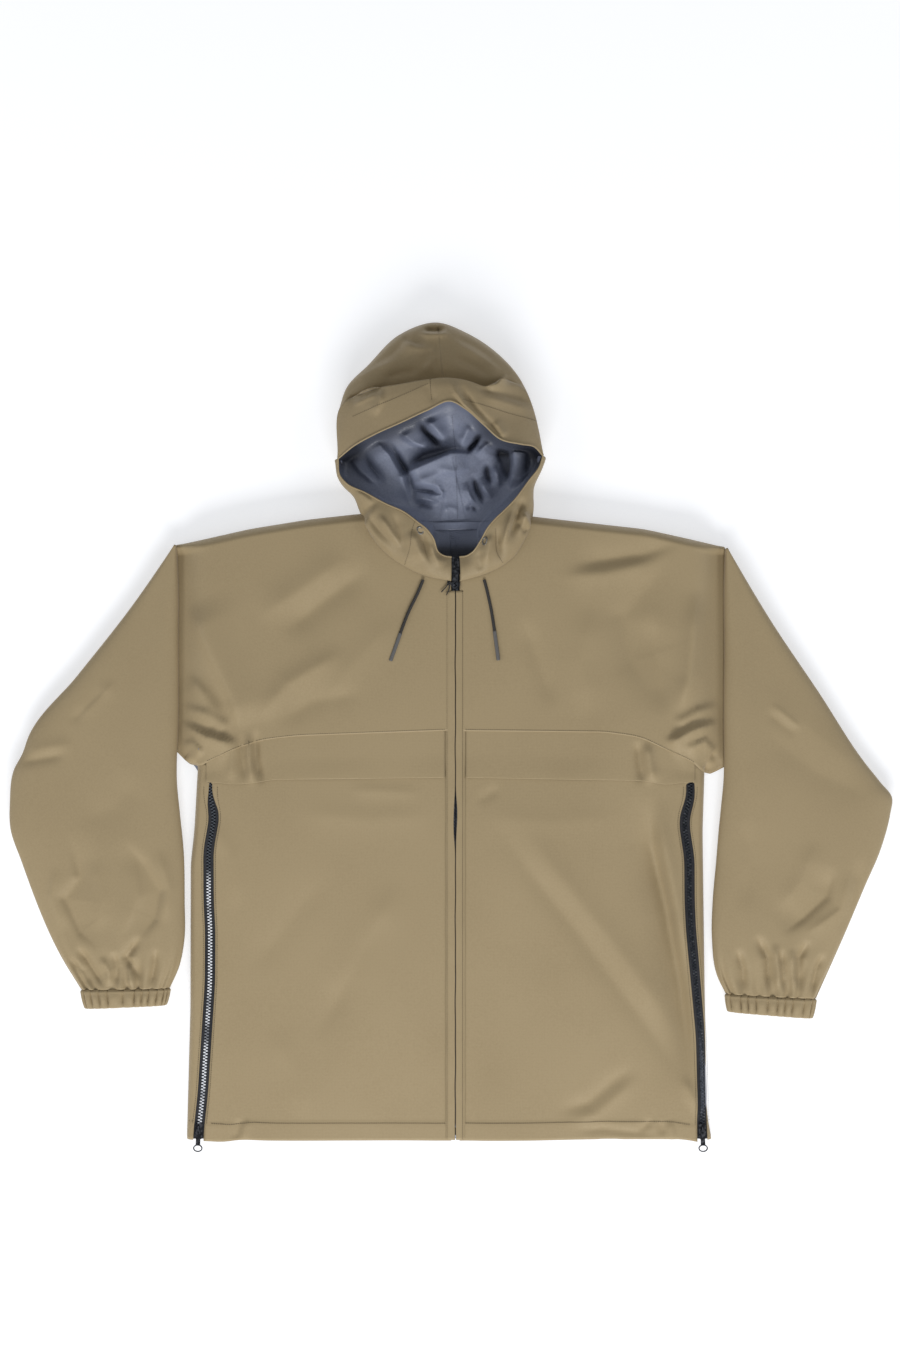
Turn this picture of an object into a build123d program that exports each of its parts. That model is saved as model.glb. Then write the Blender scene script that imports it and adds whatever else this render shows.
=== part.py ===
from build123d import *

import os
from math import atan2, cos, degrees, hypot, pi, radians, sin, tan

# A hooded shell jacket laid flat on its back, front up, closed. Millimetres.
# The origin is on the table under the middle of the jacket. +X runs to the
# wearer's left, +Y to the hood and +Z up.

# Cloth
cloth = 1.2  # outer fabric, membrane and lining together
seam_gap = 0.3  # left between curved edges that are sewn together

# Body
body_half = 323.0  # from the middle to a side fold
hem_y = -501.0
hem_height = 12.0  # of the front at the hem
underarm_y = -40.0
armhole_out = 14.0  # from the side fold out to the armhole
armhole_low_y = -15.0
shoulder_tip_y = 231.0
shoulder_in, shoulder_y = 159.0, 264.0  # shoulder line's bend, in from the armhole
neck_point = (100.0, 270.0)
back_neck_half = 82.0
back_neck_y = 262.0
neck_height = 32.0  # of the front at the neck points
split_height = 5.0  # where the back panel's upstand meets the front pieces

# Neck opening and collar, half ellipses about one centre
seam_half, seam_drop = 105.0, 83.0  # the neck seam, seen from the front
collar_half, collar_drop = 75.0, 53.0  # the collar's free edge
seam_allowance = 7.0  # of the collar, lapped over the yokes
collar_rise = 1.8
collar_lap = 2.0  # of the collar above the low point of its free edge
neck_tape_length, neck_tape_width, tape_cloth = 120.0, 10.0, 0.6

# Front pieces
closure_x = 6.0  # the closure lies a little to the wearer's left
chest_seam_y = 3.7
chest_seam_in = 133.0  # from the side fold to where the seam starts to fall
flap_drop = 57.5
flap_end_in = 53.0  # from the side fold to the flap's end
flap_thickness = 1.2
placket_half = 12.0
placket_foot = 2.0
placket_slit_gap = 0.3  # on each side of the slider's bail
placket_cloth = 0.8
placket_gap = 0.4  # from the slider up to the placket's underside
placket_drop = 13.0  # from the neck seam's low point to the placket's top
flap_gap = 1.0  # from the placket to the flap

# Zips: sizes across the chain (x) and up from the front's face (n)
tooth_tip = 0.5
tooth_root = 2.4
spine_out = 3.4
tooth_low, tooth_high = -3.1, -0.3
tooth_pitch, tooth_width = 3.8, 2.2
tape_low, tape_high = -2.2, -1.2
front_tape_out, side_tape_out = 16.0, 10.0
side_zip_edge = 6.4  # cloth edge from the chain's middle
stop_length = 2.5
box_length = 9.0
stop_proud = 0.2
zip_end_gap = 0.6  # from the top of a side zip to the cloth above it
front_zip_foot, side_zip_foot = 6.0, 1.0  # above the hem
front_zip_drop = 1.0  # from the collar's edge to the top of the chain
side_zip_top_in, side_zip_top_y = 28.5, -57.0
side_zip_foot_in = 12.0  # from the side fold

# Sliders and pulls
slider_length = 16.0
flange_open, flange_closed = 1.2, 0.6  # flange width at the slider's two ends
slider_clear = 0.3
plate = 1.1
post_width, post_length = 0.6, 3.0
bail_half = 0.7
bail_back = 5.0
bail_bar, bail_roof = 0.9, 0.8
hinge_offset = 1.0  # the pull's hinge, from the slider's middle
bar_radius = 0.7
pull_gap = 0.4  # between the pull and the placket, and beside the bail
pull_slot_gap = 0.8  # between the turning pull and the bail's corner
cheek, pull_tab_half = 1.2, 2.9
pull_tab_end, pull_end = 19.0, 27.0
ring_width, ring_length = 11.6, 9.3
ring_hole_width, ring_hole_length = 8.8, 6.6
front_slider_gap, side_slider_gap = 2.5, 0.5  # from the stops, at rest

# Hood
hood_x = -12.0
hood_half = 127.0
hood_neck_half = 102.0
hood_neck_gap = 2.0  # between the neck points and the hood
hood_widest_y = 345.0
hood_top_y = 507.0
hood_height = 88.0
hood_taper = 18.0
hood_wall = 1.5
face_in = 10.0  # from the hood's neck end to the face opening
face_apex_y, face_side_y = 408.0, 345.0
brim_width = 32.0
brim_low = 40.0
eyelet_x, eyelet_in = 29.0, 6.0
eyelet_radius, eyelet_hole, eyelet_height = 5.0, 2.5, 1.5

# Sleeves, measured out from the sleeve's fold beside the armhole
sleeve_gap = 2.5  # from the armhole's edge to the sleeve
sleeve_height = 22.0
sleeve_tip_y = 229.0
sleeve_outer = ((57.5, 145.0), (176.5, -20.0), (205.5, -80.0), (200.5, -120.0))
sleeve_inner_low_y = -290.0
cuff_y = -318.0
cuff_in, cuff_out = 5.5, 115.5
cuff_length = 24.0
cuff_wall = 3.0
elastic_thickness, elastic_clear = 0.8, 0.1

# Cords
cord_diameter = 3.8
cord_lift = 2.6  # of the cord's middle above the front's face
tip_diameter, tip_length = 4.6, 36.0
right_cord_points = ((-34.0, 185.6), (-43.5, 166.0), (-53.0, 147.5), (-61.4, 124.0))
left_cord_points = ((41.5, 187.0), (46.0, 170.0), (51.0, 149.0), (54.0, 126.5))
pull_cord_diameter = 1.4
pull_cord_lift = 3.7
knot_radius, knot_lift = 1.7, 4.3
# from the pull's hinge: down the left of the pull, through the knot, to the end
pull_cord_long_points = (
    (-3.4, 0.2), (-6.4, -4.6), (-9.4, -10.0), (-10.0, -15.4),
    (-8.6, -20.6), (-11.8, -26.0), (-17.4, -31.6),
)
pull_cord_short_points = (
    (-3.9, -3.2), (-5.4, -8.6), (-7.4, -13.4), (-7.1, -18.4),
    (-6.9, -23.4), (-7.8, -29.2), (-11.0, -35.2),
)
knot_place = (-7.8, -20.6)

SIDES = {"left": 1, "right": -1}

# Places and sizes that follow from those above
armhole_x = body_half + armhole_out
sleeve_x = armhole_x + sleeve_gap
shoulder_mid = (armhole_x - shoulder_in, shoulder_y)
neck_centre_y = neck_point[1] + 2
hood_neck_y = neck_point[1] + hood_neck_gap
face_half = hood_neck_half - face_in
collar_top_y = neck_centre_y - collar_drop + collar_lap
chest_seam_flat = body_half - chest_seam_in
flap_end_x = body_half - flap_end_in
flap_start = placket_half + flap_gap
placket_slit_half = bail_half + placket_slit_gap
placket_clear = tooth_high + slider_clear + plate + placket_gap
placket_top_y = neck_centre_y - seam_drop - placket_drop
front_zip_top_y = neck_centre_y - collar_drop - front_zip_drop
front_zip_foot_y = hem_y + front_zip_foot
side_zip_top = (body_half - side_zip_top_in, side_zip_top_y)
side_zip_low = (body_half - side_zip_foot_in, hem_y + side_zip_foot)
slider_half_open = spine_out + slider_clear + flange_open
slider_half_closed = spine_out + slider_clear + flange_closed
front_zip_edge = slider_half_open + slider_clear
pull_thickness = 2 * bar_radius
hinge_height = placket_clear + placket_cloth + pull_gap + bar_radius
bail_front = bar_radius + slider_clear + bail_bar
bail_top = hinge_height + bar_radius + slider_clear + bail_roof
pull_slot_half = bail_half + pull_gap
pull_slot_end = hypot(bail_front, bail_top - hinge_height) + pull_slot_gap
pull_neck_half = pull_slot_half + cheek
front_slider_drop = stop_length + front_slider_gap + slider_length / 2
side_slider_rise = stop_length + side_slider_gap + slider_length / 2
front_rise = (neck_height - hem_height) / (neck_point[1] - hem_y)
front_angle = atan2(neck_height - hem_height, neck_point[1] - hem_y)


def front_height(y):
    """Height of the front's face above the table at y."""
    return hem_height + front_rise * (y - hem_y)


FRONT = Plane(
    origin=(0, 0, front_height(0)),
    x_dir=(1, 0, 0),
    z_dir=(0, -sin(front_angle), cos(front_angle)),
)
over_everything = 60.0
beyond = 30.0  # how far a cutter runs past the edge it cuts


def save(part, label):
    """Label a finished piece and write it as one STEP file."""
    part.label = label
    export_step(part, f"parts/{label}.step")


def mirrored(points, side):
    """The same outline on the wearer's left (1) or right (-1)."""
    return [(side * x, y) for x, y in points]


def polygon(points):
    """A flat outline on the table."""
    with BuildSketch() as face:
        with BuildLine():
            Polyline(*points, close=True)
        make_face()
    return face.sketch


def slab(plane, outline, low, high):
    """An outline given thickness between two heights over a plane."""
    with BuildPart() as piece:
        with BuildSketch(plane.offset(low)):
            add(outline)
        extrude(amount=high - low)
    return piece.part


def local_plane(plane, x, y):
    """The same plane with its origin moved in the plane."""
    return Plane(
        origin=plane.from_local_coords((x, y, 0)), x_dir=plane.x_dir, z_dir=plane.z_dir
    )


# ---------------------------------------------------------------- body cloth


def body_outline():
    """Plan of the whole body, both sides."""
    half = [
        (body_half, hem_y),
        (body_half, underarm_y),
        (armhole_x, armhole_low_y),
        (armhole_x, shoulder_tip_y),
        shoulder_mid,
        neck_point,
        (back_neck_half, back_neck_y),
    ]
    other = [(-x, y) for x, y in reversed(half)]
    return polygon(half + other)


def neck_ellipse(half, drop):
    """Half ellipse of the neck, whose centre is between the neck points."""
    with BuildSketch() as curve:
        with Locations((0, neck_centre_y)):
            Ellipse(half, drop)
    return curve.sketch


def body_space():
    """The room inside the body, open at the hem and both armholes."""
    with BuildSketch() as plan:
        add(body_outline())
        offset(amount=-cloth, kind=Kind.INTERSECTION)
        with Locations((0, hem_y)):
            Rectangle(2 * (body_half - cloth), beyond)
        armhole_high_y = shoulder_tip_y - 2 * cloth
        middle_y = (armhole_low_y + armhole_high_y) / 2
        for side in SIDES.values():
            with Locations((side * armhole_x, middle_y)):
                Rectangle(4 * cloth, armhole_high_y - armhole_low_y)
    with BuildPart() as space:
        with BuildSketch(Plane.XY.offset(cloth)):
            add(plan.sketch)
        extrude(amount=over_everything)
        split(bisect_by=FRONT.offset(-cloth), keep=Keep.BOTTOM)
    return space.part


def body_shell():
    """Front and back layer and the folds that join them, in one shell."""
    with BuildPart() as shell:
        with BuildSketch():
            add(body_outline())
        extrude(amount=over_everything)
        split(bisect_by=FRONT, keep=Keep.BOTTOM)
        add(body_space(), mode=Mode.SUBTRACT)
        with BuildSketch(Plane.XY.offset(cloth)):
            add(neck_ellipse(seam_half - seam_allowance, seam_drop - seam_allowance))
        extrude(amount=over_everything, mode=Mode.SUBTRACT)
    return shell.part


def side_zip_x(y):
    """Distance of the side zip's middle from the middle of the jacket."""
    share = (y - side_zip_top[1]) / (side_zip_low[1] - side_zip_top[1])
    return side_zip_top[0] + share * (side_zip_low[0] - side_zip_top[0])


def seam_end():
    """Where the chest seam's slope runs out past the side fold."""
    slope = (underarm_y - 2 - chest_seam_y) / (body_half - chest_seam_flat)
    x = body_half + beyond
    return (x, chest_seam_y + slope * (x - chest_seam_flat))


def front_edge(side):
    """The closure edge of a front piece, measured from the middle."""
    return side * closure_x + front_zip_edge


def yoke_region(side):
    """Plan of an upper front, from the chest seam to the shoulder."""
    top_y = neck_point[1] + beyond
    outer_x = seam_end()[0]
    points = [
        (front_edge(side), chest_seam_y),
        (chest_seam_flat, chest_seam_y),
        seam_end(),
        (outer_x, top_y),
        (front_edge(side), top_y),
    ]
    return polygon(mirrored(points, side))


def front_region(side):
    """Plan of a lower front, from the closure to the side zip."""
    low_y = hem_y - beyond
    points = [
        (front_edge(side), low_y),
        (side_zip_x(low_y) - side_zip_edge, low_y),
        (side_zip_top[0] - side_zip_edge, side_zip_top[1] + zip_end_gap),
        (seam_end()[0], side_zip_top[1] + zip_end_gap),
        seam_end(),
        (chest_seam_flat, chest_seam_y),
        (front_edge(side), chest_seam_y),
    ]
    return polygon(mirrored(points, side))


def side_region(side):
    """Plan of a side panel, from the side zip round the side fold."""
    low_y = hem_y - beyond
    outer_x = seam_end()[0]
    points = [
        (side_zip_x(low_y) + side_zip_edge, low_y),
        (outer_x, low_y),
        (outer_x, side_zip_top[1] + zip_end_gap),
        (side_zip_top[0] + side_zip_edge, side_zip_top[1] + zip_end_gap),
    ]
    return polygon(mirrored(points, side))


def back_region():
    """Plan of the back panel, from one side panel to the other."""
    low_y = hem_y - beyond
    top_y = neck_point[1] + beyond
    outer_x = seam_end()[0]
    half = [
        (side_zip_x(low_y) + side_zip_edge, low_y),
        (side_zip_top[0] + side_zip_edge, side_zip_top[1] + zip_end_gap),
        (outer_x, side_zip_top[1] + zip_end_gap),
        (outer_x, top_y),
    ]
    return polygon(half + [(-x, y) for x, y in reversed(half)])


def cut_panel(shell, region, low, high):
    """The part of the body's shell inside one region."""
    with BuildPart() as panel:
        add(shell)
        with BuildSketch(Plane.XY.offset(low)):
            add(region)
        extrude(amount=high - low, mode=Mode.INTERSECT)
    return panel.part


def make_body():
    shell = body_shell()
    save(cut_panel(shell, back_region(), -1, split_height), "back_panel")
    for name, side in SIDES.items():
        high = over_everything
        save(cut_panel(shell, yoke_region(side), split_height, high), f"{name}_yoke")
        save(cut_panel(shell, front_region(side), split_height, high), f"{name}_front")
        save(cut_panel(shell, side_region(side), -1, high), f"{name}_side_panel")


def make_chest_flap(name, side):
    """Storm flap below the chest seam, lying on the lower front."""
    end_y = chest_seam_y + (flap_end_x - chest_seam_flat) * (
        (seam_end()[1] - chest_seam_y) / (seam_end()[0] - chest_seam_flat)
    )
    start_x = side * closure_x + flap_start
    points = [
        (start_x, chest_seam_y),
        (chest_seam_flat, chest_seam_y),
        (flap_end_x, end_y),
        (flap_end_x, chest_seam_y - flap_drop),
        (start_x, chest_seam_y - flap_drop),
    ]
    flap = slab(FRONT, polygon(mirrored(points, side)), 0, flap_thickness)
    save(flap, f"{name}_chest_flap")


def make_placket(name, side):
    """Half of the placket: a strip over the zip on a foot sewn to the front."""
    length = placket_top_y - hem_y
    middle_y = (placket_top_y + hem_y) / 2
    strip_width = placket_half - placket_slit_half
    strip_x = closure_x + side * (placket_half + placket_slit_half) / 2
    foot_x = closure_x + side * (placket_half - placket_foot / 2)
    with BuildPart() as placket:
        with BuildSketch(FRONT):
            with Locations((foot_x, middle_y)):
                Rectangle(placket_foot, length)
        extrude(amount=placket_clear)
        with BuildSketch(FRONT.offset(placket_clear)):
            with Locations((strip_x, middle_y)):
                Rectangle(strip_width, length)
        extrude(amount=placket_cloth)
    save(placket.part, f"{name}_placket")


def collar_region(side, half, drop):
    """Half of the collar in plan, out to the given ellipse."""
    height = seam_drop + beyond
    with BuildSketch() as region:
        add(neck_ellipse(half, drop))
        add(neck_ellipse(collar_half, collar_drop), mode=Mode.SUBTRACT)
        edge_x = closure_x + side * front_zip_edge
        with Locations((edge_x + side * seam_half, collar_top_y - height / 2)):
            Rectangle(2 * seam_half, height, mode=Mode.INTERSECT)
    return region.sketch


def make_collar(name, side):
    """Half of the collar, standing in the neck opening and lapped on the yoke."""
    inner_half = seam_half - seam_allowance - seam_gap
    inner_drop = seam_drop - seam_allowance - seam_gap
    with BuildPart() as collar:
        with BuildSketch(FRONT):
            add(collar_region(side, seam_half, seam_drop))
        extrude(amount=collar_rise)
        with BuildSketch(FRONT.offset(-cloth)):
            add(collar_region(side, inner_half, inner_drop))
        extrude(amount=cloth)
    save(collar.part, f"{name}_collar")


def make_neck_tape():
    """Tape over the back neck seam, on the inside of the back panel."""
    with BuildPart() as tape:
        with BuildSketch(Plane.XY.offset(cloth)):
            with Locations((0, back_neck_y - neck_tape_width / 2)):
                Rectangle(neck_tape_length, neck_tape_width)
        extrude(amount=tape_cloth)
    save(tape.part, "neck_tape")


# ---------------------------------------------------------------------- zips


def zip_plane(top, foot):
    """Plane on the front's face: origin at the chain's top, +Y up the chain."""
    top_point = FRONT.from_local_coords((top[0], top[1], 0))
    foot_point = FRONT.from_local_coords((foot[0], foot[1], 0))
    up = (top_point - foot_point).normalized()
    return Plane(origin=top_point, x_dir=up.cross(FRONT.z_dir), z_dir=FRONT.z_dir)


def zip_length(top, foot):
    return (Vector(*top) - Vector(*foot)).length


def zip_tape(plane, side, width, length):
    """One woven tape, sewn under the cloth's edge."""
    with BuildPart() as tape:
        with BuildSketch(plane.offset(tape_low)):
            with Locations((side * (spine_out + width) / 2, -length / 2)):
                Rectangle(width - spine_out, length)
        extrude(amount=tape_high - tape_low)
    return tape.part


def zip_teeth(plane, side, start, end):
    """One row of teeth on its spine, between two distances down the chain."""
    length = end - start
    count = int((length - tooth_pitch) // tooth_pitch)
    stagger = side * tooth_pitch / 4
    with BuildPart() as teeth:
        with BuildSketch(plane.offset(tooth_low)):
            with Locations((side * (tooth_root + spine_out) / 2, -start - length / 2)):
                Rectangle(spine_out - tooth_root, length)
            tooth_x = side * (tooth_tip + tooth_root) / 2
            with Locations((tooth_x, -start - length / 2 + stagger)):
                with GridLocations(0, tooth_pitch, 1, count):
                    Rectangle(tooth_root - tooth_tip, tooth_width)
        extrude(amount=tooth_high - tooth_low)
    return teeth.part


def blocks(plane, places, width, length, low, high):
    """Small stops or a box on the chain, each centred in plan."""
    with BuildPart() as stops:
        with BuildSketch(plane.offset(low)):
            with Locations(*places):
                Rectangle(width, length)
        extrude(amount=high - low)
    return stops.part


def make_front_zip(plane, length):
    stop_low, stop_high = tooth_low - stop_proud, tooth_high + stop_proud
    stop_width = spine_out - tooth_tip
    stop_x = (spine_out + tooth_tip) / 2
    for name, side in SIDES.items():
        tape = zip_tape(plane, side, front_tape_out, length)
        save(tape, f"{name}_front_tape")
        teeth = zip_teeth(plane, side, stop_length, length - box_length)
        save(teeth, f"{name}_front_teeth")
    places = [(side * stop_x, -stop_length / 2) for side in SIDES.values()]
    stops = blocks(plane, places, stop_width, stop_length, stop_low, stop_high)
    save(stops, "front_top_stops")
    place = [(0, box_length / 2 - length)]
    box = blocks(plane, place, 2 * spine_out, box_length, stop_low, stop_high)
    save(box, "front_zip_box")


def make_side_zip(name, plane, length):
    stop_low, stop_high = tooth_low - stop_proud, tooth_high + stop_proud
    for edge, side in {"inner": -1, "outer": 1}.items():
        side = side * SIDES[name]
        tape = zip_tape(plane, side, side_tape_out, length)
        save(tape, f"{name}_side_tape_{edge}")
        teeth = zip_teeth(plane, side, stop_length, length - stop_length)
        save(teeth, f"{name}_side_teeth_{edge}")
    place = [(0, -stop_length / 2)]
    stop = blocks(plane, place, 2 * spine_out, stop_length, stop_low, stop_high)
    save(stop, f"{name}_side_top_stop")


def make_side_bottom_stops(planes, length):
    """Four alike stops, two at the foot of each side zip."""
    stop_low, stop_high = tooth_low - stop_proud, tooth_high + stop_proud
    stop_x = (spine_out + tooth_tip) / 2
    width = spine_out - tooth_tip
    with BuildPart() as stops:
        for plane in planes:
            with BuildSketch(plane.offset(stop_low)):
                with Locations((-stop_x, stop_length / 2 - length)):
                    Rectangle(width, stop_length)
                with Locations((stop_x, stop_length / 2 - length)):
                    Rectangle(width, stop_length)
            extrude(amount=stop_high - stop_low)
    save(stops.part, "side_bottom_stops")


def bail(plane):
    """Loop on the slider's top plate that the pull hangs on."""
    across = Plane(origin=plane.origin, x_dir=plane.y_dir, z_dir=plane.x_dir)
    window_low = hinge_height - bar_radius - slider_clear
    window_high = hinge_height + bar_radius + slider_clear
    front = hinge_offset - bail_front
    back = hinge_offset + bail_back
    with BuildPart() as loop:
        with BuildSketch(across.offset(-bail_half)):
            with BuildLine():
                Polyline(
                    (front, plate / 2), (back, plate / 2), (back, bail_top),
                    (front, bail_top), close=True,
                )
            make_face()
            with BuildLine():
                Polyline(
                    (front + bail_bar, window_low), (back - bail_bar, window_low),
                    (back - bail_bar, window_high), (front + bail_bar, window_high),
                    close=True,
                )
            make_face(mode=Mode.SUBTRACT)
        extrude(amount=2 * bail_half)
    return loop.part


def make_slider(name, plane, open_end):
    """Zip slider: two plates joined by a post, flanges round the teeth, a bail."""
    half = slider_length / 2
    top_plate_low = tooth_high + slider_clear
    bottom_plate_high = tooth_low - slider_clear
    inside = spine_out + slider_clear
    slot_low, slot_high = tape_low - slider_clear, tape_high + slider_clear
    wide, narrow = slider_half_open, slider_half_closed
    low = bottom_plate_high - plate
    with BuildPart() as slider:
        with BuildSketch(plane.offset(low)):
            with BuildLine():
                Polyline(
                    (-wide, open_end * half), (wide, open_end * half),
                    (narrow, -open_end * half), (-narrow, -open_end * half),
                    close=True,
                )
            make_face()
        extrude(amount=top_plate_low + plate - low)
        with BuildSketch(plane.offset(bottom_plate_high)):
            Rectangle(2 * inside, slider_length + beyond)
        extrude(amount=top_plate_low - bottom_plate_high, mode=Mode.SUBTRACT)
        with BuildSketch(plane.offset(slot_low)):
            Rectangle(4 * inside, slider_length + beyond)
        extrude(amount=slot_high - slot_low, mode=Mode.SUBTRACT)
        with BuildSketch(plane.offset(bottom_plate_high)):
            with Locations((0, open_end * (half - post_length))):
                Rectangle(post_width, post_length)
        extrude(amount=top_plate_low - bottom_plate_high)
        add(bail(plane))
    save(slider.part, name)


def make_pull(name, plane):
    """Pull tab: a cross bar through the bail, two cheeks, a tab and a ring."""
    hinge = local_plane(plane, 0, hinge_offset)
    low = hinge_height - pull_thickness / 2
    ring_middle = pull_end - ring_length / 2
    bail_room = bar_radius + slider_clear
    slot_length = pull_slot_end + bail_room
    bar = Plane(
        origin=hinge.from_local_coords((-pull_neck_half, 0, hinge_height)),
        x_dir=hinge.y_dir,
        z_dir=hinge.x_dir,
    )
    with BuildPart() as pull:
        with BuildSketch(hinge.offset(low)):
            with BuildLine():
                Polyline(
                    (-pull_neck_half, bar_radius), (pull_neck_half, bar_radius),
                    (pull_tab_half, -pull_tab_end), (-pull_tab_half, -pull_tab_end),
                    close=True,
                )
            make_face()
            with Locations((0, -ring_middle)):
                Ellipse(ring_width / 2, ring_length / 2)
                Ellipse(ring_hole_width / 2, ring_hole_length / 2, mode=Mode.SUBTRACT)
            with Locations((0, (bail_room - pull_slot_end) / 2)):
                Rectangle(2 * pull_slot_half, slot_length, mode=Mode.SUBTRACT)
        extrude(amount=pull_thickness)
        with BuildSketch(bar):
            Circle(bar_radius)
        extrude(amount=2 * pull_neck_half)
    save(pull.part, name)


# ---------------------------------------------------------------------- hood


def hood_outline(shrink=0.0):
    """Plan of the hood, straight at the neck and round at the crown."""
    half = hood_half - shrink
    neck = hood_neck_half - shrink
    low = hood_neck_y + shrink
    top = hood_top_y - shrink
    with BuildSketch() as plan:
        with BuildLine():
            Line((hood_x - neck, low), (hood_x + neck, low))
            Line((hood_x + neck, low), (hood_x + half, hood_widest_y))
            ThreePointArc(
                (hood_x + half, hood_widest_y), (hood_x, top),
                (hood_x - half, hood_widest_y),
            )
            Line((hood_x - half, hood_widest_y), (hood_x - neck, low))
        make_face()
    return plan.sketch


def face_region():
    """Plan of the face opening, running out over the neck."""
    return polygon(
        [
            (hood_x - face_half, hood_neck_y - beyond),
            (hood_x + face_half, hood_neck_y - beyond),
            (hood_x + face_half, face_side_y),
            (hood_x, face_apex_y),
            (hood_x - face_half, face_side_y),
        ]
    )


def brim_region():
    """Plan of the brim, the band behind the face opening's upper edge."""
    wide = hood_half + beyond
    slope = (face_apex_y - face_side_y) / face_half
    edge_y = face_apex_y - slope * wide
    return polygon(
        [
            (hood_x - wide, edge_y),
            (hood_x, face_apex_y),
            (hood_x + wide, edge_y),
            (hood_x + wide, edge_y + brim_width),
            (hood_x, face_apex_y + brim_width),
            (hood_x - wide, edge_y + brim_width),
        ]
    )


def hood_shell():
    """The whole hood as a shell on its back, open at the face and the neck."""
    shrink = hood_wall * (1 + tan(radians(hood_taper)))
    with BuildPart() as space:
        with BuildSketch(Plane.XY.offset(hood_wall)):
            add(hood_outline(shrink))
        extrude(amount=hood_height - 2 * hood_wall, taper=hood_taper)
    with BuildPart() as shell:
        with BuildSketch():
            add(hood_outline())
        extrude(amount=hood_height, taper=hood_taper)
        add(space.part, mode=Mode.SUBTRACT)
        with BuildSketch(Plane.XY.offset(hood_wall)):
            add(face_region())
        extrude(amount=hood_height, mode=Mode.SUBTRACT)
    return shell.part


def brim_block():
    with BuildPart() as block:
        with BuildSketch(Plane.XY.offset(brim_low)):
            add(brim_region())
        extrude(amount=hood_height)
    return block.part


def make_hood():
    shell = hood_shell()
    with BuildPart() as brim:
        add(shell)
        add(brim_block(), mode=Mode.INTERSECT)
    save(brim.part, "hood_brim")
    for name, side in SIDES.items():
        keep = Keep.TOP if side > 0 else Keep.BOTTOM
        with BuildPart() as half:
            add(shell)
            add(brim_block(), mode=Mode.SUBTRACT)
            split(bisect_by=Plane.YZ.offset(hood_x), keep=keep)
        save(half.part, f"{name}_hood")
        with BuildPart() as eyelet:
            with BuildSketch(Plane.XY.offset(hood_wall)):
                with Locations((side * eyelet_x, hood_neck_y + eyelet_in)):
                    Circle(eyelet_radius)
                    Circle(eyelet_hole, mode=Mode.SUBTRACT)
            extrude(amount=eyelet_height)
        save(eyelet.part, f"{name}_hood_eyelet")


# ------------------------------------------------------------------- sleeves


def sleeve_outline(side):
    """Plan of a sleeve from its fold beside the armhole down to the cuff."""
    points = [(0, sleeve_tip_y), *sleeve_outer]
    points += [(cuff_out, cuff_y), (cuff_in, cuff_y), (0, sleeve_inner_low_y)]
    placed = [(sleeve_x + out, y) for out, y in points]
    return polygon(mirrored(placed, side))


def sleeve_tube(side):
    """The sleeve as a flat tube, open at the armhole and at the cuff."""
    armhole_high_y = sleeve_tip_y - 3 * cloth
    middle_y = (armhole_low_y + armhole_high_y) / 2
    cuff_middle_x = sleeve_x + (cuff_in + cuff_out) / 2
    cuff_width = cuff_out - cuff_in - 4 * cloth
    with BuildPart() as tube:
        with BuildSketch():
            add(sleeve_outline(side))
        extrude(amount=sleeve_height)
        with BuildSketch(Plane.XY.offset(cloth)):
            add(sleeve_outline(side))
            offset(amount=-cloth, kind=Kind.INTERSECTION)
            with Locations((side * sleeve_x, middle_y)):
                Rectangle(4 * cloth, armhole_high_y - armhole_low_y)
            with Locations((side * cuff_middle_x, cuff_y)):
                Rectangle(cuff_width, 4 * cloth)
        extrude(amount=sleeve_height - 2 * cloth, mode=Mode.SUBTRACT)
    return tube.part


def ring_solid(side, inset_out, inset_in, inset_ends):
    """Rectangular band round the cuff, between two depths in its wall."""
    middle_x = side * (sleeve_x + (cuff_in + cuff_out) / 2)
    width = cuff_out - cuff_in
    length = cuff_length - 2 * inset_ends
    across = Plane(
        origin=(middle_x, cuff_y - inset_ends, sleeve_height / 2),
        x_dir=(1, 0, 0),
        z_dir=(0, -1, 0),
    )
    with BuildPart() as band:
        with BuildSketch(across):
            Rectangle(width - 2 * inset_out, sleeve_height - 2 * inset_out)
            Rectangle(
                width - 2 * inset_in, sleeve_height - 2 * inset_in, mode=Mode.SUBTRACT
            )
        extrude(amount=length)
    return band.part


def make_sleeve(name, side):
    tube = sleeve_tube(side)
    layers = {"sleeve_top": Keep.TOP, "sleeve_under": Keep.BOTTOM}
    for layer, keep in layers.items():
        with BuildPart() as piece:
            add(tube)
            split(bisect_by=Plane.XY.offset(sleeve_height / 2), keep=keep)
        save(piece.part, f"{name}_{layer}")
    channel_out = (cuff_wall - elastic_thickness) / 2 - elastic_clear
    channel_in = (cuff_wall + elastic_thickness) / 2 + elastic_clear
    with BuildPart() as cuff:
        add(ring_solid(side, 0, cuff_wall, 0))
        channel = ring_solid(side, channel_out, channel_in, channel_out)
        add(channel, mode=Mode.SUBTRACT)
    save(cuff.part, f"{name}_cuff")
    elastic = ring_solid(
        side,
        channel_out + elastic_clear,
        channel_in - elastic_clear,
        channel_out + elastic_clear,
    )
    save(elastic, f"{name}_cuff_elastic")


# --------------------------------------------------------------------- cords


def bend_radii(points):
    """Radius of each corner: 0.45 of the shorter run over tan(half the turn)."""
    radii = []
    for before, here, after in zip(points, points[1:], points[2:]):
        run_in, run_out = here - before, after - here
        turn = radians(run_in.get_angle(run_out))
        radii.append(0.45 * min(run_in.length, run_out.length) / tan(turn / 2))
    return radii


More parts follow.
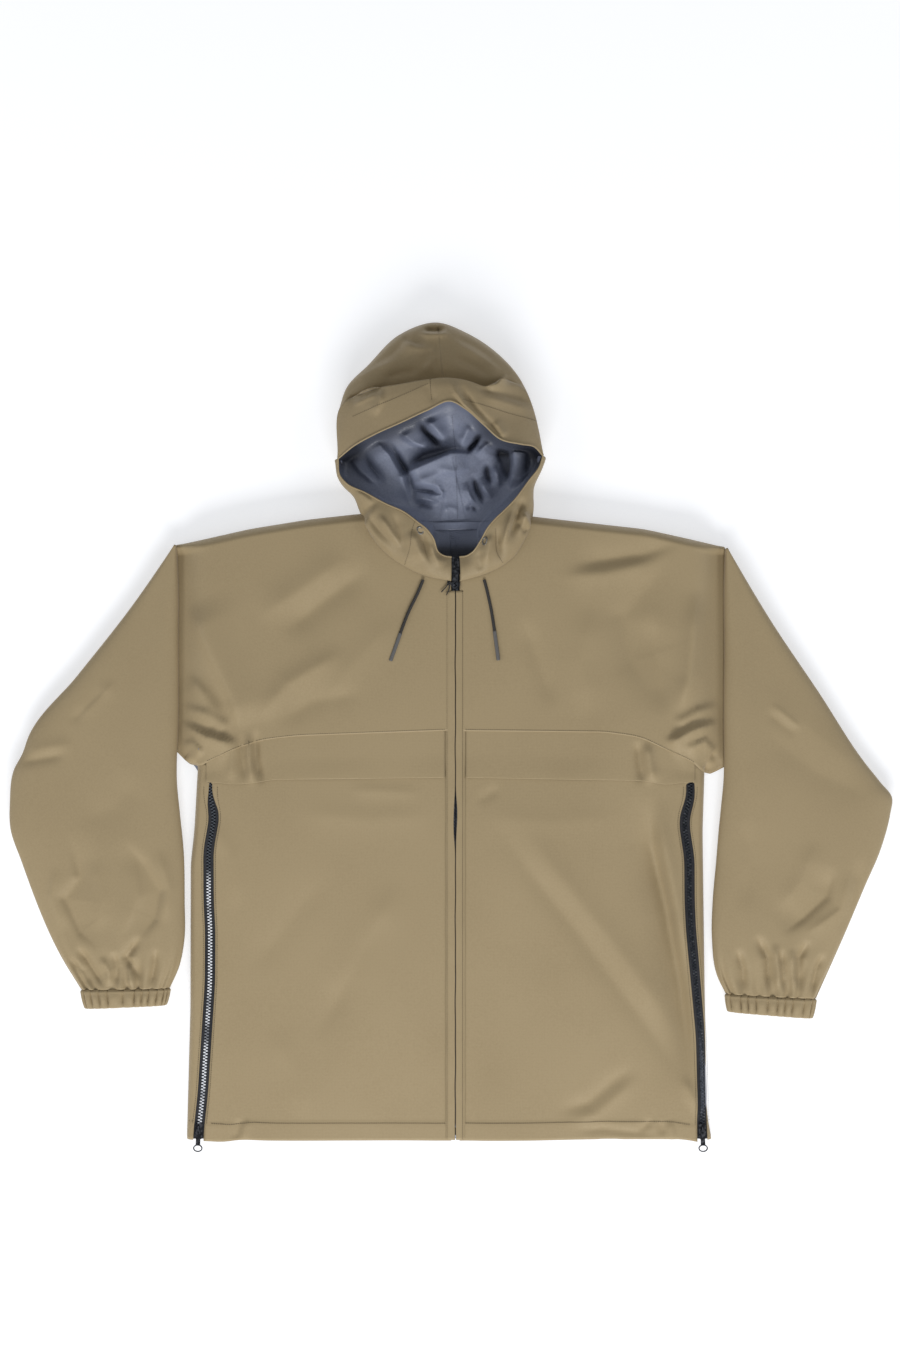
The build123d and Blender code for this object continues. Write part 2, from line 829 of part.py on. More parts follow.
def cord_tube(plane, flat_points, lift, diameter, name):
    """A cord lying over a plane, as straight runs joined by tangent arcs."""
    points = [plane.from_local_coords((x, y, lift)) for x, y in flat_points]
    radii = bend_radii(points)
    with BuildPart() as tube:
        with BuildLine() as route:
            FilletPolyline(*points, radius=radii)
        with BuildSketch(Plane(origin=route.line @ 0, z_dir=route.line % 0)):
            Circle(diameter / 2)
        sweep()
    length = sum(edge.length for edge in route.edges())
    section = tube.part.volume / (pi * diameter**2 / 4)
    print(name, "length", round(length, 1), "by volume", round(section, 1))
    print(name, "radii", [round(radius) for radius in radii])
    save(tube.part, name)
    return points


def make_drawcord(name, points):
    """A hood drawcord from the neck seam, and the hard tip on its end."""
    route = cord_tube(FRONT, points, cord_lift, cord_diameter, f"{name}_drawcord")
    along = (route[-1] - route[-2]).normalized()
    with BuildPart() as tip:
        with BuildSketch(Plane(origin=route[-1], z_dir=along)):
            Circle(tip_diameter / 2)
        extrude(amount=tip_length)
        fillet(tip.faces().sort_by(Axis.Y)[0].edges(), radius=tip_diameter / 4)
    save(tip.part, f"{name}_cord_tip")


def make_pull_cords(plane):
    """Thin cord on the front pull: two strands, tied in one knot."""
    hinge = local_plane(plane, 0, hinge_offset)
    strands = {
        "pull_cord_long": pull_cord_long_points,
        "pull_cord_short": pull_cord_short_points,
    }
    for name, points in strands.items():
        cord_tube(hinge, points, pull_cord_lift, pull_cord_diameter, name)
    with BuildPart() as knot:
        centre = hinge.from_local_coords((*knot_place, knot_lift))
        with Locations(centre):
            Sphere(knot_radius)
    save(knot.part, "pull_cord_knot")


# ---------------------------------------------------------------- the jacket


def make_zips():
    front_top = (closure_x, front_zip_top_y)
    front_foot = (closure_x, front_zip_foot_y)
    front_plane = zip_plane(front_top, front_foot)
    make_front_zip(front_plane, zip_length(front_top, front_foot))
    front_slider_plane = local_plane(front_plane, 0, -front_slider_drop)
    make_slider("front_slider", front_slider_plane, open_end=1)
    make_pull("front_pull", front_slider_plane)
    make_pull_cords(front_slider_plane)
    length = zip_length(side_zip_top, side_zip_low)
    side_planes = []
    for name, side in SIDES.items():
        top = (side * side_zip_top[0], side_zip_top[1])
        foot = (side * side_zip_low[0], side_zip_low[1])
        plane = zip_plane(top, foot)
        side_planes.append(plane)
        make_side_zip(name, plane, length)
        slider_plane = local_plane(plane, 0, side_slider_rise - length)
        make_slider(f"{name}_side_slider", slider_plane, open_end=-1)
        make_pull(f"{name}_side_pull", slider_plane)
        hinge = slider_plane.from_local_coords((0, hinge_offset, hinge_height))
        print(name, "side hinge", hinge, "axis", plane.x_dir, "up", plane.y_dir)
    make_side_bottom_stops(side_planes, length)
    hinge = front_slider_plane.from_local_coords((0, hinge_offset, hinge_height))
    print("front hinge", hinge, "axis", front_plane.x_dir, "up", front_plane.y_dir)
    print("front rise", round(degrees(front_angle), 3), "side zip length", length)


def make_jacket():
    os.makedirs("parts", exist_ok=True)
    make_body()
    make_neck_tape()
    for name, side in SIDES.items():
        make_chest_flap(name, side)
        make_placket(name, side)
        make_collar(name, side)
        make_sleeve(name, side)
    make_zips()
    make_hood()
    make_drawcord("right", right_cord_points)
    make_drawcord("left", left_cord_points)


make_jacket()
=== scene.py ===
import math

import bmesh
import bpy
import numpy as np
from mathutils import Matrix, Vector


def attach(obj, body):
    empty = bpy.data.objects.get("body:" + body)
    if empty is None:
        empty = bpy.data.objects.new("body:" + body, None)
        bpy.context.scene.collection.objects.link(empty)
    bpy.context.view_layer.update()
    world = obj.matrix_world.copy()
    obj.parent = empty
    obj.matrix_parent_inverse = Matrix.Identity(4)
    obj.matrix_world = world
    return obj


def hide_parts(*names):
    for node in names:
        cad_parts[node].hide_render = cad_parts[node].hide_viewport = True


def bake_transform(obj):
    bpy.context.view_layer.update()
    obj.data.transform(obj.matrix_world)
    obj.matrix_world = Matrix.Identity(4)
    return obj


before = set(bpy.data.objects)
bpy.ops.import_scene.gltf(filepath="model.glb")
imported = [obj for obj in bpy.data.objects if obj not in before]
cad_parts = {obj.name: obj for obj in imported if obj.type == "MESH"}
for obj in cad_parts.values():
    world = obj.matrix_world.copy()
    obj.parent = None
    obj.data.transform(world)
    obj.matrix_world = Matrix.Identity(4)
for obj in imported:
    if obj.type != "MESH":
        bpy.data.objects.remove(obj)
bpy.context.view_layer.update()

# ---- Floor, light and camera --------------------------------------------------
# The jacket lies on its back on a white studio floor. The light is wide and soft
# and comes from the hem and both sides. The camera hangs straight over the chest.


def put_in_scene(item):
    bpy.context.scene.collection.objects.link(item)
    return item


def plain_object(name, points, faces):
    mesh = bpy.data.meshes.new(name)
    mesh.from_pydata([tuple(point) for point in points], [], faces)
    return put_in_scene(bpy.data.objects.new(name, mesh))


def add_node(tree, kind, values=(), **settings):
    node = tree.nodes.new(kind)
    for key, value in settings.items():
        setattr(node, key, value)
    for socket, value in dict(values).items():
        node.inputs[socket].default_value = value
    return node


def plain_material(name, colour, roughness, metallic=0.0, **extra):
    material = bpy.data.materials.new(name)
    material.use_nodes = True
    shader = material.node_tree.nodes["Principled BSDF"]
    shader.inputs["Base Color"].default_value = (*colour, 1.0)
    shader.inputs["Roughness"].default_value = roughness
    shader.inputs["Metallic"].default_value = metallic
    for socket, value in extra.items():
        shader.inputs[socket.replace("_", " ")].default_value = value
    return material


floor_reach = 60.0
floor_level = -0.0004
floor = plain_object(
    "studio_floor",
    [
        (-floor_reach, -floor_reach, floor_level),
        (floor_reach, -floor_reach, floor_level),
        (floor_reach, floor_reach, floor_level),
        (-floor_reach, floor_reach, floor_level),
    ],
    [(0, 1, 2, 3)],
)
floor.data.materials.append(plain_material(
    "white_floor", (0.66, 0.665, 0.68), 0.85, Emission_Color=(0.97, 0.98, 1.0, 1.0),
    Emission_Strength=0.5))

world = bpy.data.worlds.new("soft_studio")
world.use_nodes = True
backdrop = world.node_tree.nodes["Background"]
backdrop.inputs["Color"].default_value = (0.93, 0.96, 1.0, 1.0)
backdrop.inputs["Strength"].default_value = 0.34
bpy.context.scene.world = world
bpy.context.scene.view_settings.view_transform = "Standard"


def soft_box(name, place, aim, size, power):
    """One wide studio light, turned to face a point on the floor."""
    light = bpy.data.lights.new(name, "AREA")
    light.shape = "RECTANGLE"
    light.size, light.size_y = size
    light.energy = power
    lamp = put_in_scene(bpy.data.objects.new(name, light))
    lamp.location = place
    lamp.rotation_euler = (Vector(place) - Vector(aim)).to_track_quat(
        "Z", "Y").to_euler()


soft_box("hem_light", (0.1, -3.2, 2.1), (0, 0, 0), (2.4, 1.1), 118.0)
soft_box("right_light", (-2.4, 0.1, 1.6), (0, 0.1, 0), (2.4, 1.2), 17.0)
soft_box("left_light", (2.4, 0.2, 1.6), (0, 0.1, 0), (2.4, 1.2), 15.0)

camera = bpy.data.cameras.new("overhead")
camera.lens = 58.4
camera.clip_end = 50.0
overhead = put_in_scene(bpy.data.objects.new("overhead", camera))
overhead.location = (-0.0006, 0.071, 2.72)
bpy.context.scene.camera = overhead

# ---- Hood drawcords -----------------------------------------------------------
# Two short ends of black braided cord come out at the neck seam and lie on the
# upper fronts. Each ends in a grey moulded tube, crimped on.


def link(tree, source, target):
    tree.links.new(source, target)


def surface_group(name, numbers, colours, outputs):
    """An empty shader group with named inputs and outputs."""
    group = bpy.data.node_groups.new(name, "ShaderNodeTree")
    for label, value in numbers.items():
        socket = group.interface.new_socket(
            label, in_out="INPUT", socket_type="NodeSocketFloat"
        )
        socket.default_value = value
    for label, value in colours.items():
        socket = group.interface.new_socket(
            label, in_out="INPUT", socket_type="NodeSocketColor"
        )
        socket.default_value = (*value, 1.0)
    for label, kind in outputs.items():
        group.interface.new_socket(label, in_out="OUTPUT", socket_type=kind)
    return group, group.nodes.new("NodeGroupInput"), group.nodes.new("NodeGroupOutput")


def maths(tree, operation, *values):
    """The socket that holds the result for some sockets and plain numbers."""
    node = add_node(tree, "ShaderNodeMath", operation=operation)
    for socket, value in zip(node.inputs, values):
        if isinstance(value, float):
            socket.default_value = value
        else:
            link(tree, value, socket)
    return node.outputs[0]


def add_relief(tree, height, strength, distance):
    """Bump on the material's own shader."""
    relief = add_node(tree, "ShaderNodeBump",
                      {"Strength": strength, "Distance": distance})
    link(tree, height, relief.inputs["Height"])
    link(tree, relief.outputs["Normal"], tree.nodes["Principled BSDF"].inputs["Normal"])


def object_noise(tree, scale, detail):
    """Noise that stays with the object, in metres."""
    place = tree.nodes.new("ShaderNodeTexCoord")
    noise = add_node(tree, "ShaderNodeTexNoise", {"Scale": scale, "Detail": detail})
    link(tree, place.outputs["Object"], noise.inputs["Vector"])
    return noise.outputs["Fac"]


def colour_mix(tree, factor, low, high):
    """From one colour to another; each is a socket or a tuple."""
    mix = add_node(tree, "ShaderNodeMix", data_type="RGBA")
    link(tree, factor, mix.inputs["Factor"])
    for label, colour in (("A", low), ("B", high)):
        if isinstance(colour, tuple):
            mix.inputs[label].default_value = (*colour, 1.0)
        else:
            link(tree, colour, mix.inputs[label])
    return mix.outputs["Result"]


def crossed_threads(tree, coordinates, size):
    """Height of two sets of threads that cross, on a size in metres."""
    half_wave = 0.157  # metres, at a scale of 1
    scale = maths(tree, "DIVIDE", half_wave, size)
    heights = []
    for direction in ("X", "Y"):
        wave = add_node(tree, "ShaderNodeTexWave", {"Distortion": 0.4, "Detail": 0.0},
                        bands_direction=direction)
        link(tree, coordinates, wave.inputs["Vector"])
        link(tree, scale, wave.inputs["Scale"])
        heights.append(wave.outputs["Fac"])
    return maths(tree, "MAXIMUM", *heights)


def woven_group():
    """Cloth: threads that cross, slow changes of tone and small handling marks."""
    group, given, result = surface_group(
        "woven_cloth",
        {"Thread": 0.0008, "Mottle": 0.06, "Weave": 0.3, "Roughness": 0.7},
        {"Colour": (0.3, 0.25, 0.15), "Low": (0.2, 0.17, 0.1)},
        {
            "Colour": "NodeSocketColor",
            "Roughness": "NodeSocketFloat",
            "Height": "NodeSocketFloat",
        },
    )
    place = group.nodes.new("ShaderNodeTexCoord")
    threads = crossed_threads(group, place.outputs["UV"], given.outputs["Thread"])
    mottle = maths(group, "SUBTRACT", object_noise(group, 9.0, 4.0), 0.5)
    grain = maths(group, "SUBTRACT", object_noise(group, 420.0, 3.0), 0.45)
    tone = maths(group, "MULTIPLY", maths(group, "ADD", mottle, grain),
                 given.outputs["Mottle"])
    gaps = maths(group, "SUBTRACT", 1.0, threads)
    weave = maths(group, "MULTIPLY_ADD", gaps, given.outputs["Weave"], tone)
    colour = colour_mix(group, weave, given.outputs["Colour"], given.outputs["Low"])
    link(group, colour, result.inputs["Colour"])
    rough = maths(group, "ADD", given.outputs["Roughness"], tone)
    link(group, rough, result.inputs["Roughness"])
    height = maths(group, "MULTIPLY_ADD", grain, 0.35, threads)
    link(group, height, result.inputs["Height"])
    return group


woven = woven_group()


def cloth_material(name, colour, low, values, bump, **extra):
    """A material whose colour, roughness and bump come from the woven group."""
    material = plain_material(name, colour, 0.7, **extra)
    tree = material.node_tree
    shader = tree.nodes["Principled BSDF"]
    cloth = add_node(tree, "ShaderNodeGroup", node_tree=woven)
    cloth.inputs["Colour"].default_value = (*colour, 1.0)
    cloth.inputs["Low"].default_value = (*low, 1.0)
    for label, value in values.items():
        cloth.inputs[label].default_value = value
    link(tree, cloth.outputs["Colour"], shader.inputs["Base Color"])
    link(tree, cloth.outputs["Roughness"], shader.inputs["Roughness"])
    add_relief(tree, cloth.outputs["Height"], 1.0, bump)
    return material


def braid_material():
    """Black braided polyester: strands that cross at a slant."""
    material = plain_material("black_braid", (0.022, 0.02, 0.019), 0.75)
    tree = material.node_tree
    shader = tree.nodes["Principled BSDF"]
    place = tree.nodes.new("ShaderNodeTexCoord")
    turned = add_node(tree, "ShaderNodeMapping", {"Rotation": (0, 0, 0.7)})
    link(tree, place.outputs["Object"], turned.inputs["Vector"])
    size = add_node(tree, "ShaderNodeValue")
    size.outputs[0].default_value = 0.0011
    threads = crossed_threads(tree, turned.outputs["Vector"], size.outputs[0])
    colour = colour_mix(tree, threads, (0.006, 0.006, 0.006), (0.04, 0.036, 0.033))
    link(tree, colour, shader.inputs["Base Color"])
    add_relief(tree, threads, 0.8, 0.0003)
    return material


def moulded_material(name, colour, roughness, grain=0.00003):
    """Moulded plastic with a faint satin grain."""
    material = plain_material(name, colour, roughness)
    tree = material.node_tree
    shader = tree.nodes["Principled BSDF"]
    noise = object_noise(tree, 1400.0, 2.0)
    add_relief(tree, noise, 0.6, grain)
    tones = [tuple(share * part for part in colour) for share in (0.8, 1.2)]
    link(tree, colour_mix(tree, noise, *tones), shader.inputs["Base Color"])
    return material


def give_node(node, material):
    """A finish for a CAD node that stays as it is."""
    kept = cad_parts[node]
    kept.data.materials.clear()
    kept.data.materials.append(material)
    return kept


def cord_curve(name, points, diameter, material):
    """A round cord: a smooth spline with the route's points as its controls."""
    curve = bpy.data.curves.new(name, "CURVE")
    curve.dimensions = "3D"
    curve.bevel_depth = diameter / 2
    curve.bevel_resolution = 5
    curve.use_fill_caps = True
    curve.resolution_u = 24
    spline = curve.splines.new("NURBS")
    spline.points.add(len(points) - 1)
    for control, place in zip(spline.points, points):
        control.co = (*place, 1.0)
    spline.order_u = 3
    spline.use_endpoint_u = True
    curve.materials.append(material)
    cord = put_in_scene(bpy.data.objects.new(name, curve))
    return cord


hem_end = -0.501
hem_thick = 0.012  # of both layers and the air between them, at the hem
front_rise = 0.02594  # of the front for each metre towards the neck


def front_plane(y):
    """Height of the flat front over the floor: higher at the neck."""
    return hem_thick + front_rise * (y - hem_end)


black_braid = braid_material()
cord_tip_grey = moulded_material("cord_tip_grey", (0.11, 0.107, 0.105), 0.4)
cord_lift = 0.0028
for side, route in {
    "right": [(-0.0335, 0.1895), (-0.0375, 0.179), (-0.0435, 0.166),
              (-0.053, 0.1475), (-0.0614, 0.124)],
    "left": [(0.0412, 0.1895), (0.0438, 0.180), (0.0462, 0.170),
             (0.0508, 0.149), (0.054, 0.1265)],
}.items():
    line = [(x, y, front_plane(y) + cord_lift) for x, y in route]
    drawcord = cord_curve(f"{side}_hood_drawcord", line, 0.0038, black_braid)
    tip = give_node(f"{side}_cord_tip", cord_tip_grey)
    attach(drawcord, "root")
    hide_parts(f"{side}_drawcord")

# ---- Cord on the front pull ---------------------------------------------------
# A doubled length of thin black cord is looped through the slider's pull and tied
# in one overhand knot. Its two ends are cut and hang loose.

pull_hinge = (0.006, 0.205843, front_plane(0.205843))
pull_cord_lift = 0.0037
for name, length, route in (
    ("pull_cord_long", 0.0364,
     [(-0.0034, 0.0002), (-0.0064, -0.0046), (-0.0094, -0.0100), (-0.0100, -0.0154),
      (-0.0086, -0.0206), (-0.0118, -0.0260), (-0.0174, -0.0316)]),
    ("pull_cord_short", 0.0333,
     [(-0.0039, -0.0032), (-0.0054, -0.0086), (-0.0074, -0.0134),
      (-0.0071, -0.0184), (-0.0069, -0.0234), (-0.0078, -0.0292),
      (-0.0110, -0.0352)]),
):
    line = [
        (pull_hinge[0] + x, pull_hinge[1] + y,
         front_plane(pull_hinge[1] + y) + pull_cord_lift)
        for x, y in route
    ]
    strand = cord_curve(f"{name}_strand", line, 0.0014, black_braid)
    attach(strand, "front_pull")
    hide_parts(name)


def overhand_knot(name, centre, reach, thickness, material):
    """A small trefoil wound tight, as an overhand knot looks when pulled up."""
    steps = 60
    loops = []
    for step in range(steps):
        angle = 2 * math.pi * step / steps
        ring = 2 + math.cos(3 * angle)
        loops.append((
            centre[0] + reach * ring * math.cos(2 * angle) / 3,
            centre[1] + reach * ring * math.sin(2 * angle) / 3,
            centre[2] + reach * 0.5 * math.sin(3 * angle),
        ))
    curve = bpy.data.curves.new(name, "CURVE")
    curve.dimensions = "3D"
    curve.bevel_depth = thickness / 2
    curve.bevel_resolution = 2
    spline = curve.splines.new("POLY")
    spline.points.add(steps - 1)
    for control, place in zip(spline.points, loops):
        control.co = (*place, 1.0)
    spline.use_cyclic_u = True
    curve.materials.append(material)
    return put_in_scene(bpy.data.objects.new(name, curve))


knot = overhand_knot(
    "pull_cord_overhand_knot",
    (pull_hinge[0] - 0.0078, pull_hinge[1] - 0.0206, front_plane(0.1852) + 0.0043),
    0.0021, 0.0013, black_braid,
)
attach(knot, "front_pull")
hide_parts("pull_cord_knot")

# ---- Body: back, yokes, fronts and side panels ---------------------------------
# Three-layer waterproof cloth, khaki outside and grey membrane inside, cut in flat
# panels. The seams are felled, so each panel laps the next; the hem is turned up.

SIDES = {"left": 1, "right": -1}
closure_x = 0.006
cloth_thick = 0.0009

shell_khaki = cloth_material(
    "shell_khaki", (0.345, 0.262, 0.142), (0.2, 0.15, 0.08),
    {"Thread": 0.0009, "Mottle": 0.35, "Weave": 0.16, "Roughness": 0.66}, 0.00006,
    Sheen_Weight=0.12, Sheen_Roughness=0.5,
)
membrane_grey = cloth_material(
    "membrane_grey", (0.225, 0.25, 0.335), (0.08, 0.092, 0.13),
    {"Thread": 0.0014, "Mottle": 0.7, "Weave": 0.12, "Roughness": 0.42}, 0.00012,
)


def smooth_through(stack, count):
    """A smooth run through a stack of points, or of whole lines of points."""
    stack = np.asarray(stack, float)
    gaps = np.linalg.norm(np.diff(stack, axis=0), axis=-1)
    gaps = gaps.reshape(len(stack) - 1, -1).mean(1)
    knots = np.concatenate([[0.0], np.cumsum(gaps)])
    slopes = np.gradient(stack, knots, axis=0)
    at = np.linspace(0, knots[-1], count) if np.isscalar(count) else count * knots[-1]
    low = np.clip(np.searchsorted(knots, at, side="right") - 1, 0, len(stack) - 2)
    shape = (-1,) + (1,) * (stack.ndim - 1)
    step = (knots[low + 1] - knots[low]).reshape(shape)
    part = (at - knots[low]).reshape(shape) / step
    square, cube = part**2, part**3
    return (
        (2 * cube - 3 * square + 1) * stack[low]
        + (cube - 2 * square + part) * step * slopes[low]
        + (3 * square - 2 * cube) * stack[low + 1]
        + (cube - square) * step * slopes[low + 1]
    )


def metres(millimetres):
    return np.array(millimetres) / 1000


def eased(value):
    """From 0 to 1, leaving and arriving gently."""
    value = np.clip(value, 0, 1)
    return value * value * (3 - 2 * value)


def fold(x, y, line, width, height, lean=0.0, ends=0.3):
    """Height added by one fold in the cloth, along a line, fading at its ends. Line,
    width and height are given in millimetres.

    A leaning fold is wide on the line's left and steep on its right."""
    line = metres(line)
    width, height = metres(width), metres(height)
    near = np.full(np.shape(x), 9.0)
    share, reach = np.zeros(np.shape(x)), np.zeros(np.shape(x))
    lengths = [math.dist(a, b) for a, b in zip(line, line[1:])]
    done = 0.0
    for (ax, ay), (bx, by), length in zip(line, line[1:], lengths):
        along = ((x - ax) * (bx - ax) + (y - ay) * (by - ay)) / length**2
        along = np.clip(along, 0, 1)
        far = np.hypot(x - ax - along * (bx - ax), y - ay - along * (by - ay))
        turn = (bx - ax) * (y - ay) - (by - ay) * (x - ax)
        closer = far < near
        near = np.where(closer, far, near)
        reach = np.where(closer, width * (1 + lean * np.sign(turn)), reach)
        share = np.where(closer, (done + along * length) / sum(lengths), share)
        done += length
    fade = eased(np.minimum(share, 1 - share) / ends)
    return height * fade * np.exp(-((near / np.maximum(reach, 1e-6)) ** 1.5))


def cloth_object(name, grid, outward, lined=True, thick=cloth_thick, closed=False,
                 finish=None):
    """A sheet of cloth on a grid of points, in metres: its two faces, its edge and a
    UV map in metres along the threads. outward is the way its outside faces."""
    rows, columns = grid.shape[:2]
    points = grid.reshape(-1, 3)
    faces = []
    wrap = columns if closed else columns - 1
    for row in range(rows - 1):
        for column in range(wrap):
            right = (column + 1) % columns
            faces.append((row * columns + column, row * columns + right,
                          (row + 1) * columns + right, (row + 1) * columns + column))
    corners = points[np.array(faces)]
    normals = np.cross(corners[:, 2] - corners[:, 0], corners[:, 3] - corners[:, 1])
    if callable(outward):
        facing = (normals * outward(corners.mean(1))).sum()
    else:
        facing = (normals @ np.array(outward)).sum()
    if facing < 0:
        faces = [face[::-1] for face in faces]
    piece = plain_object(name, points, faces)
    mesh = piece.data
    along = np.linalg.norm(np.diff(grid, axis=1, append=grid[:, :1]), axis=2)
    along = np.concatenate([np.zeros((rows, 1)), np.cumsum(along, 1)], 1)
    down = np.linalg.norm(np.diff(grid, axis=0), axis=2)
    down = np.concatenate([np.zeros((1, columns)), np.cumsum(down, 0)], 0)
    layer = mesh.uv_layers.new(name="threads")
    loops = np.array([loop.vertex_index for loop in mesh.loops])
    flat = np.stack([along[:, :columns].reshape(-1)[loops],
                     down.reshape(-1)[loops]], 1)
    if closed:
        last = np.repeat((loops.reshape(-1, 4) % columns == columns - 1).any(1), 4)
        first = (loops % columns == 0) & last
        ends = along[:, columns]
        flat[first, 0] = ends[loops[first] // columns]
    layer.data.foreach_set("uv", flat.astype(np.float32).reshape(-1))
    mesh.polygons.foreach_set("use_smooth", [True] * len(mesh.polygons))
    mesh.materials.append(finish or shell_khaki)
    if lined:
        mesh.materials.append(membrane_grey)
    if thick:
        wall = piece.modifiers.new("cloth", "SOLIDIFY")
        wall.thickness = thick
        wall.offset = -1.0
        if lined:
            wall.material_offset = 1
    return piece


# Where the panels' edges run, in millimetres: x out from the middle at each y for the
# sides and the zips' gentle wave, y at each x for the chest seam, shoulders and hem
side_runs = {
    "left": ((-505, 324), (-470, 317.5), (-430, 316.5), (-270, 314), (-120, 312),
             (-57, 314), (-36, 314.5)),
    "right": ((-505, 326.5), (-340, 322), (-160, 321.5), (-120, 317), (-40, 312.5),
              (-36, 312.5)),
}
zip_waves = {
    "left": ((-485, 0), (-450, 2), (-373, 2.4), (-306, -1.5), (-240, -5.5),
             (-206, -5.8), (-152, -4.2), (-130, -7), (-109, -9.2), (-95, -6.5),
             (-78, 0)),
    "right": ((-490, 0), (-440, -3.5), (-373, -5.5), (-306, -7.5), (-240, -5.5),
              (-206, -2.5), (-143, 0), (-123, -3), (-100, -6), (-78, 0)),
}
seam_runs = {
    "left": ((0, 4), (190, 2), (219, -2), (235, -5), (268.5, -21), (296, -33.5),
             (304.5, -38.5), (313, -52), (325, -49), (345, -37)),
    "right": ((0, 4.5), (123, 0), (189, -2.5), (220, -6), (236, -8.7), (266, -19),
              (307, -38.5), (312.5, -43), (329, -32), (345, -14)),
}
shoulder_runs = {
    "left": ((90, 270.5), (132, 265.5), (240, 253.5), (294.5, 241.5), (338.5, 231)),
    "right": ((90, 273), (111, 272.5), (178, 265), (248.6, 253.5), (310.6, 239.5),
              (338.5, 233.5)),
}
hem_run = ((-330, -499.5), (-293, -502), (-267, -503.5), (-248.6, -499.8),
           (-221.3, -501), (-100, -501.8), (0, -501.5), (100, -501.4), (180, -500),
           (188, -498.5), (196, -500), (276, -499.5), (297, -504.5), (307, -504.5),
           (330, -501.5))


def follow(run, at):
    """A run's value at each place, in metres."""
    places, values = metres(sorted(run)).T
    return np.interp(at, places, values)


def soft_follow(run, at):
    """The same, with the corners of the run rounded off."""
    reach = 0.008
    return sum(follow(run, at + shift) for shift in (-reach, 0, reach)) / 3


def side_edge(name, y):
    return soft_follow(side_runs[name], y)


def zip_line(name, y):
    """The middle of a side zip, out from the middle of the jacket."""
    straight = 0.2945 + (-0.057 - y) * 0.0165 / 0.443
    return np.where(y < -0.057, straight, 0.2945) + soft_follow(zip_waves[name], y)


def seam_y(name, x):
    return soft_follow(seam_runs[name], x)


def shoulder_y(name, x):
    return soft_follow(shoulder_runs[name], x)


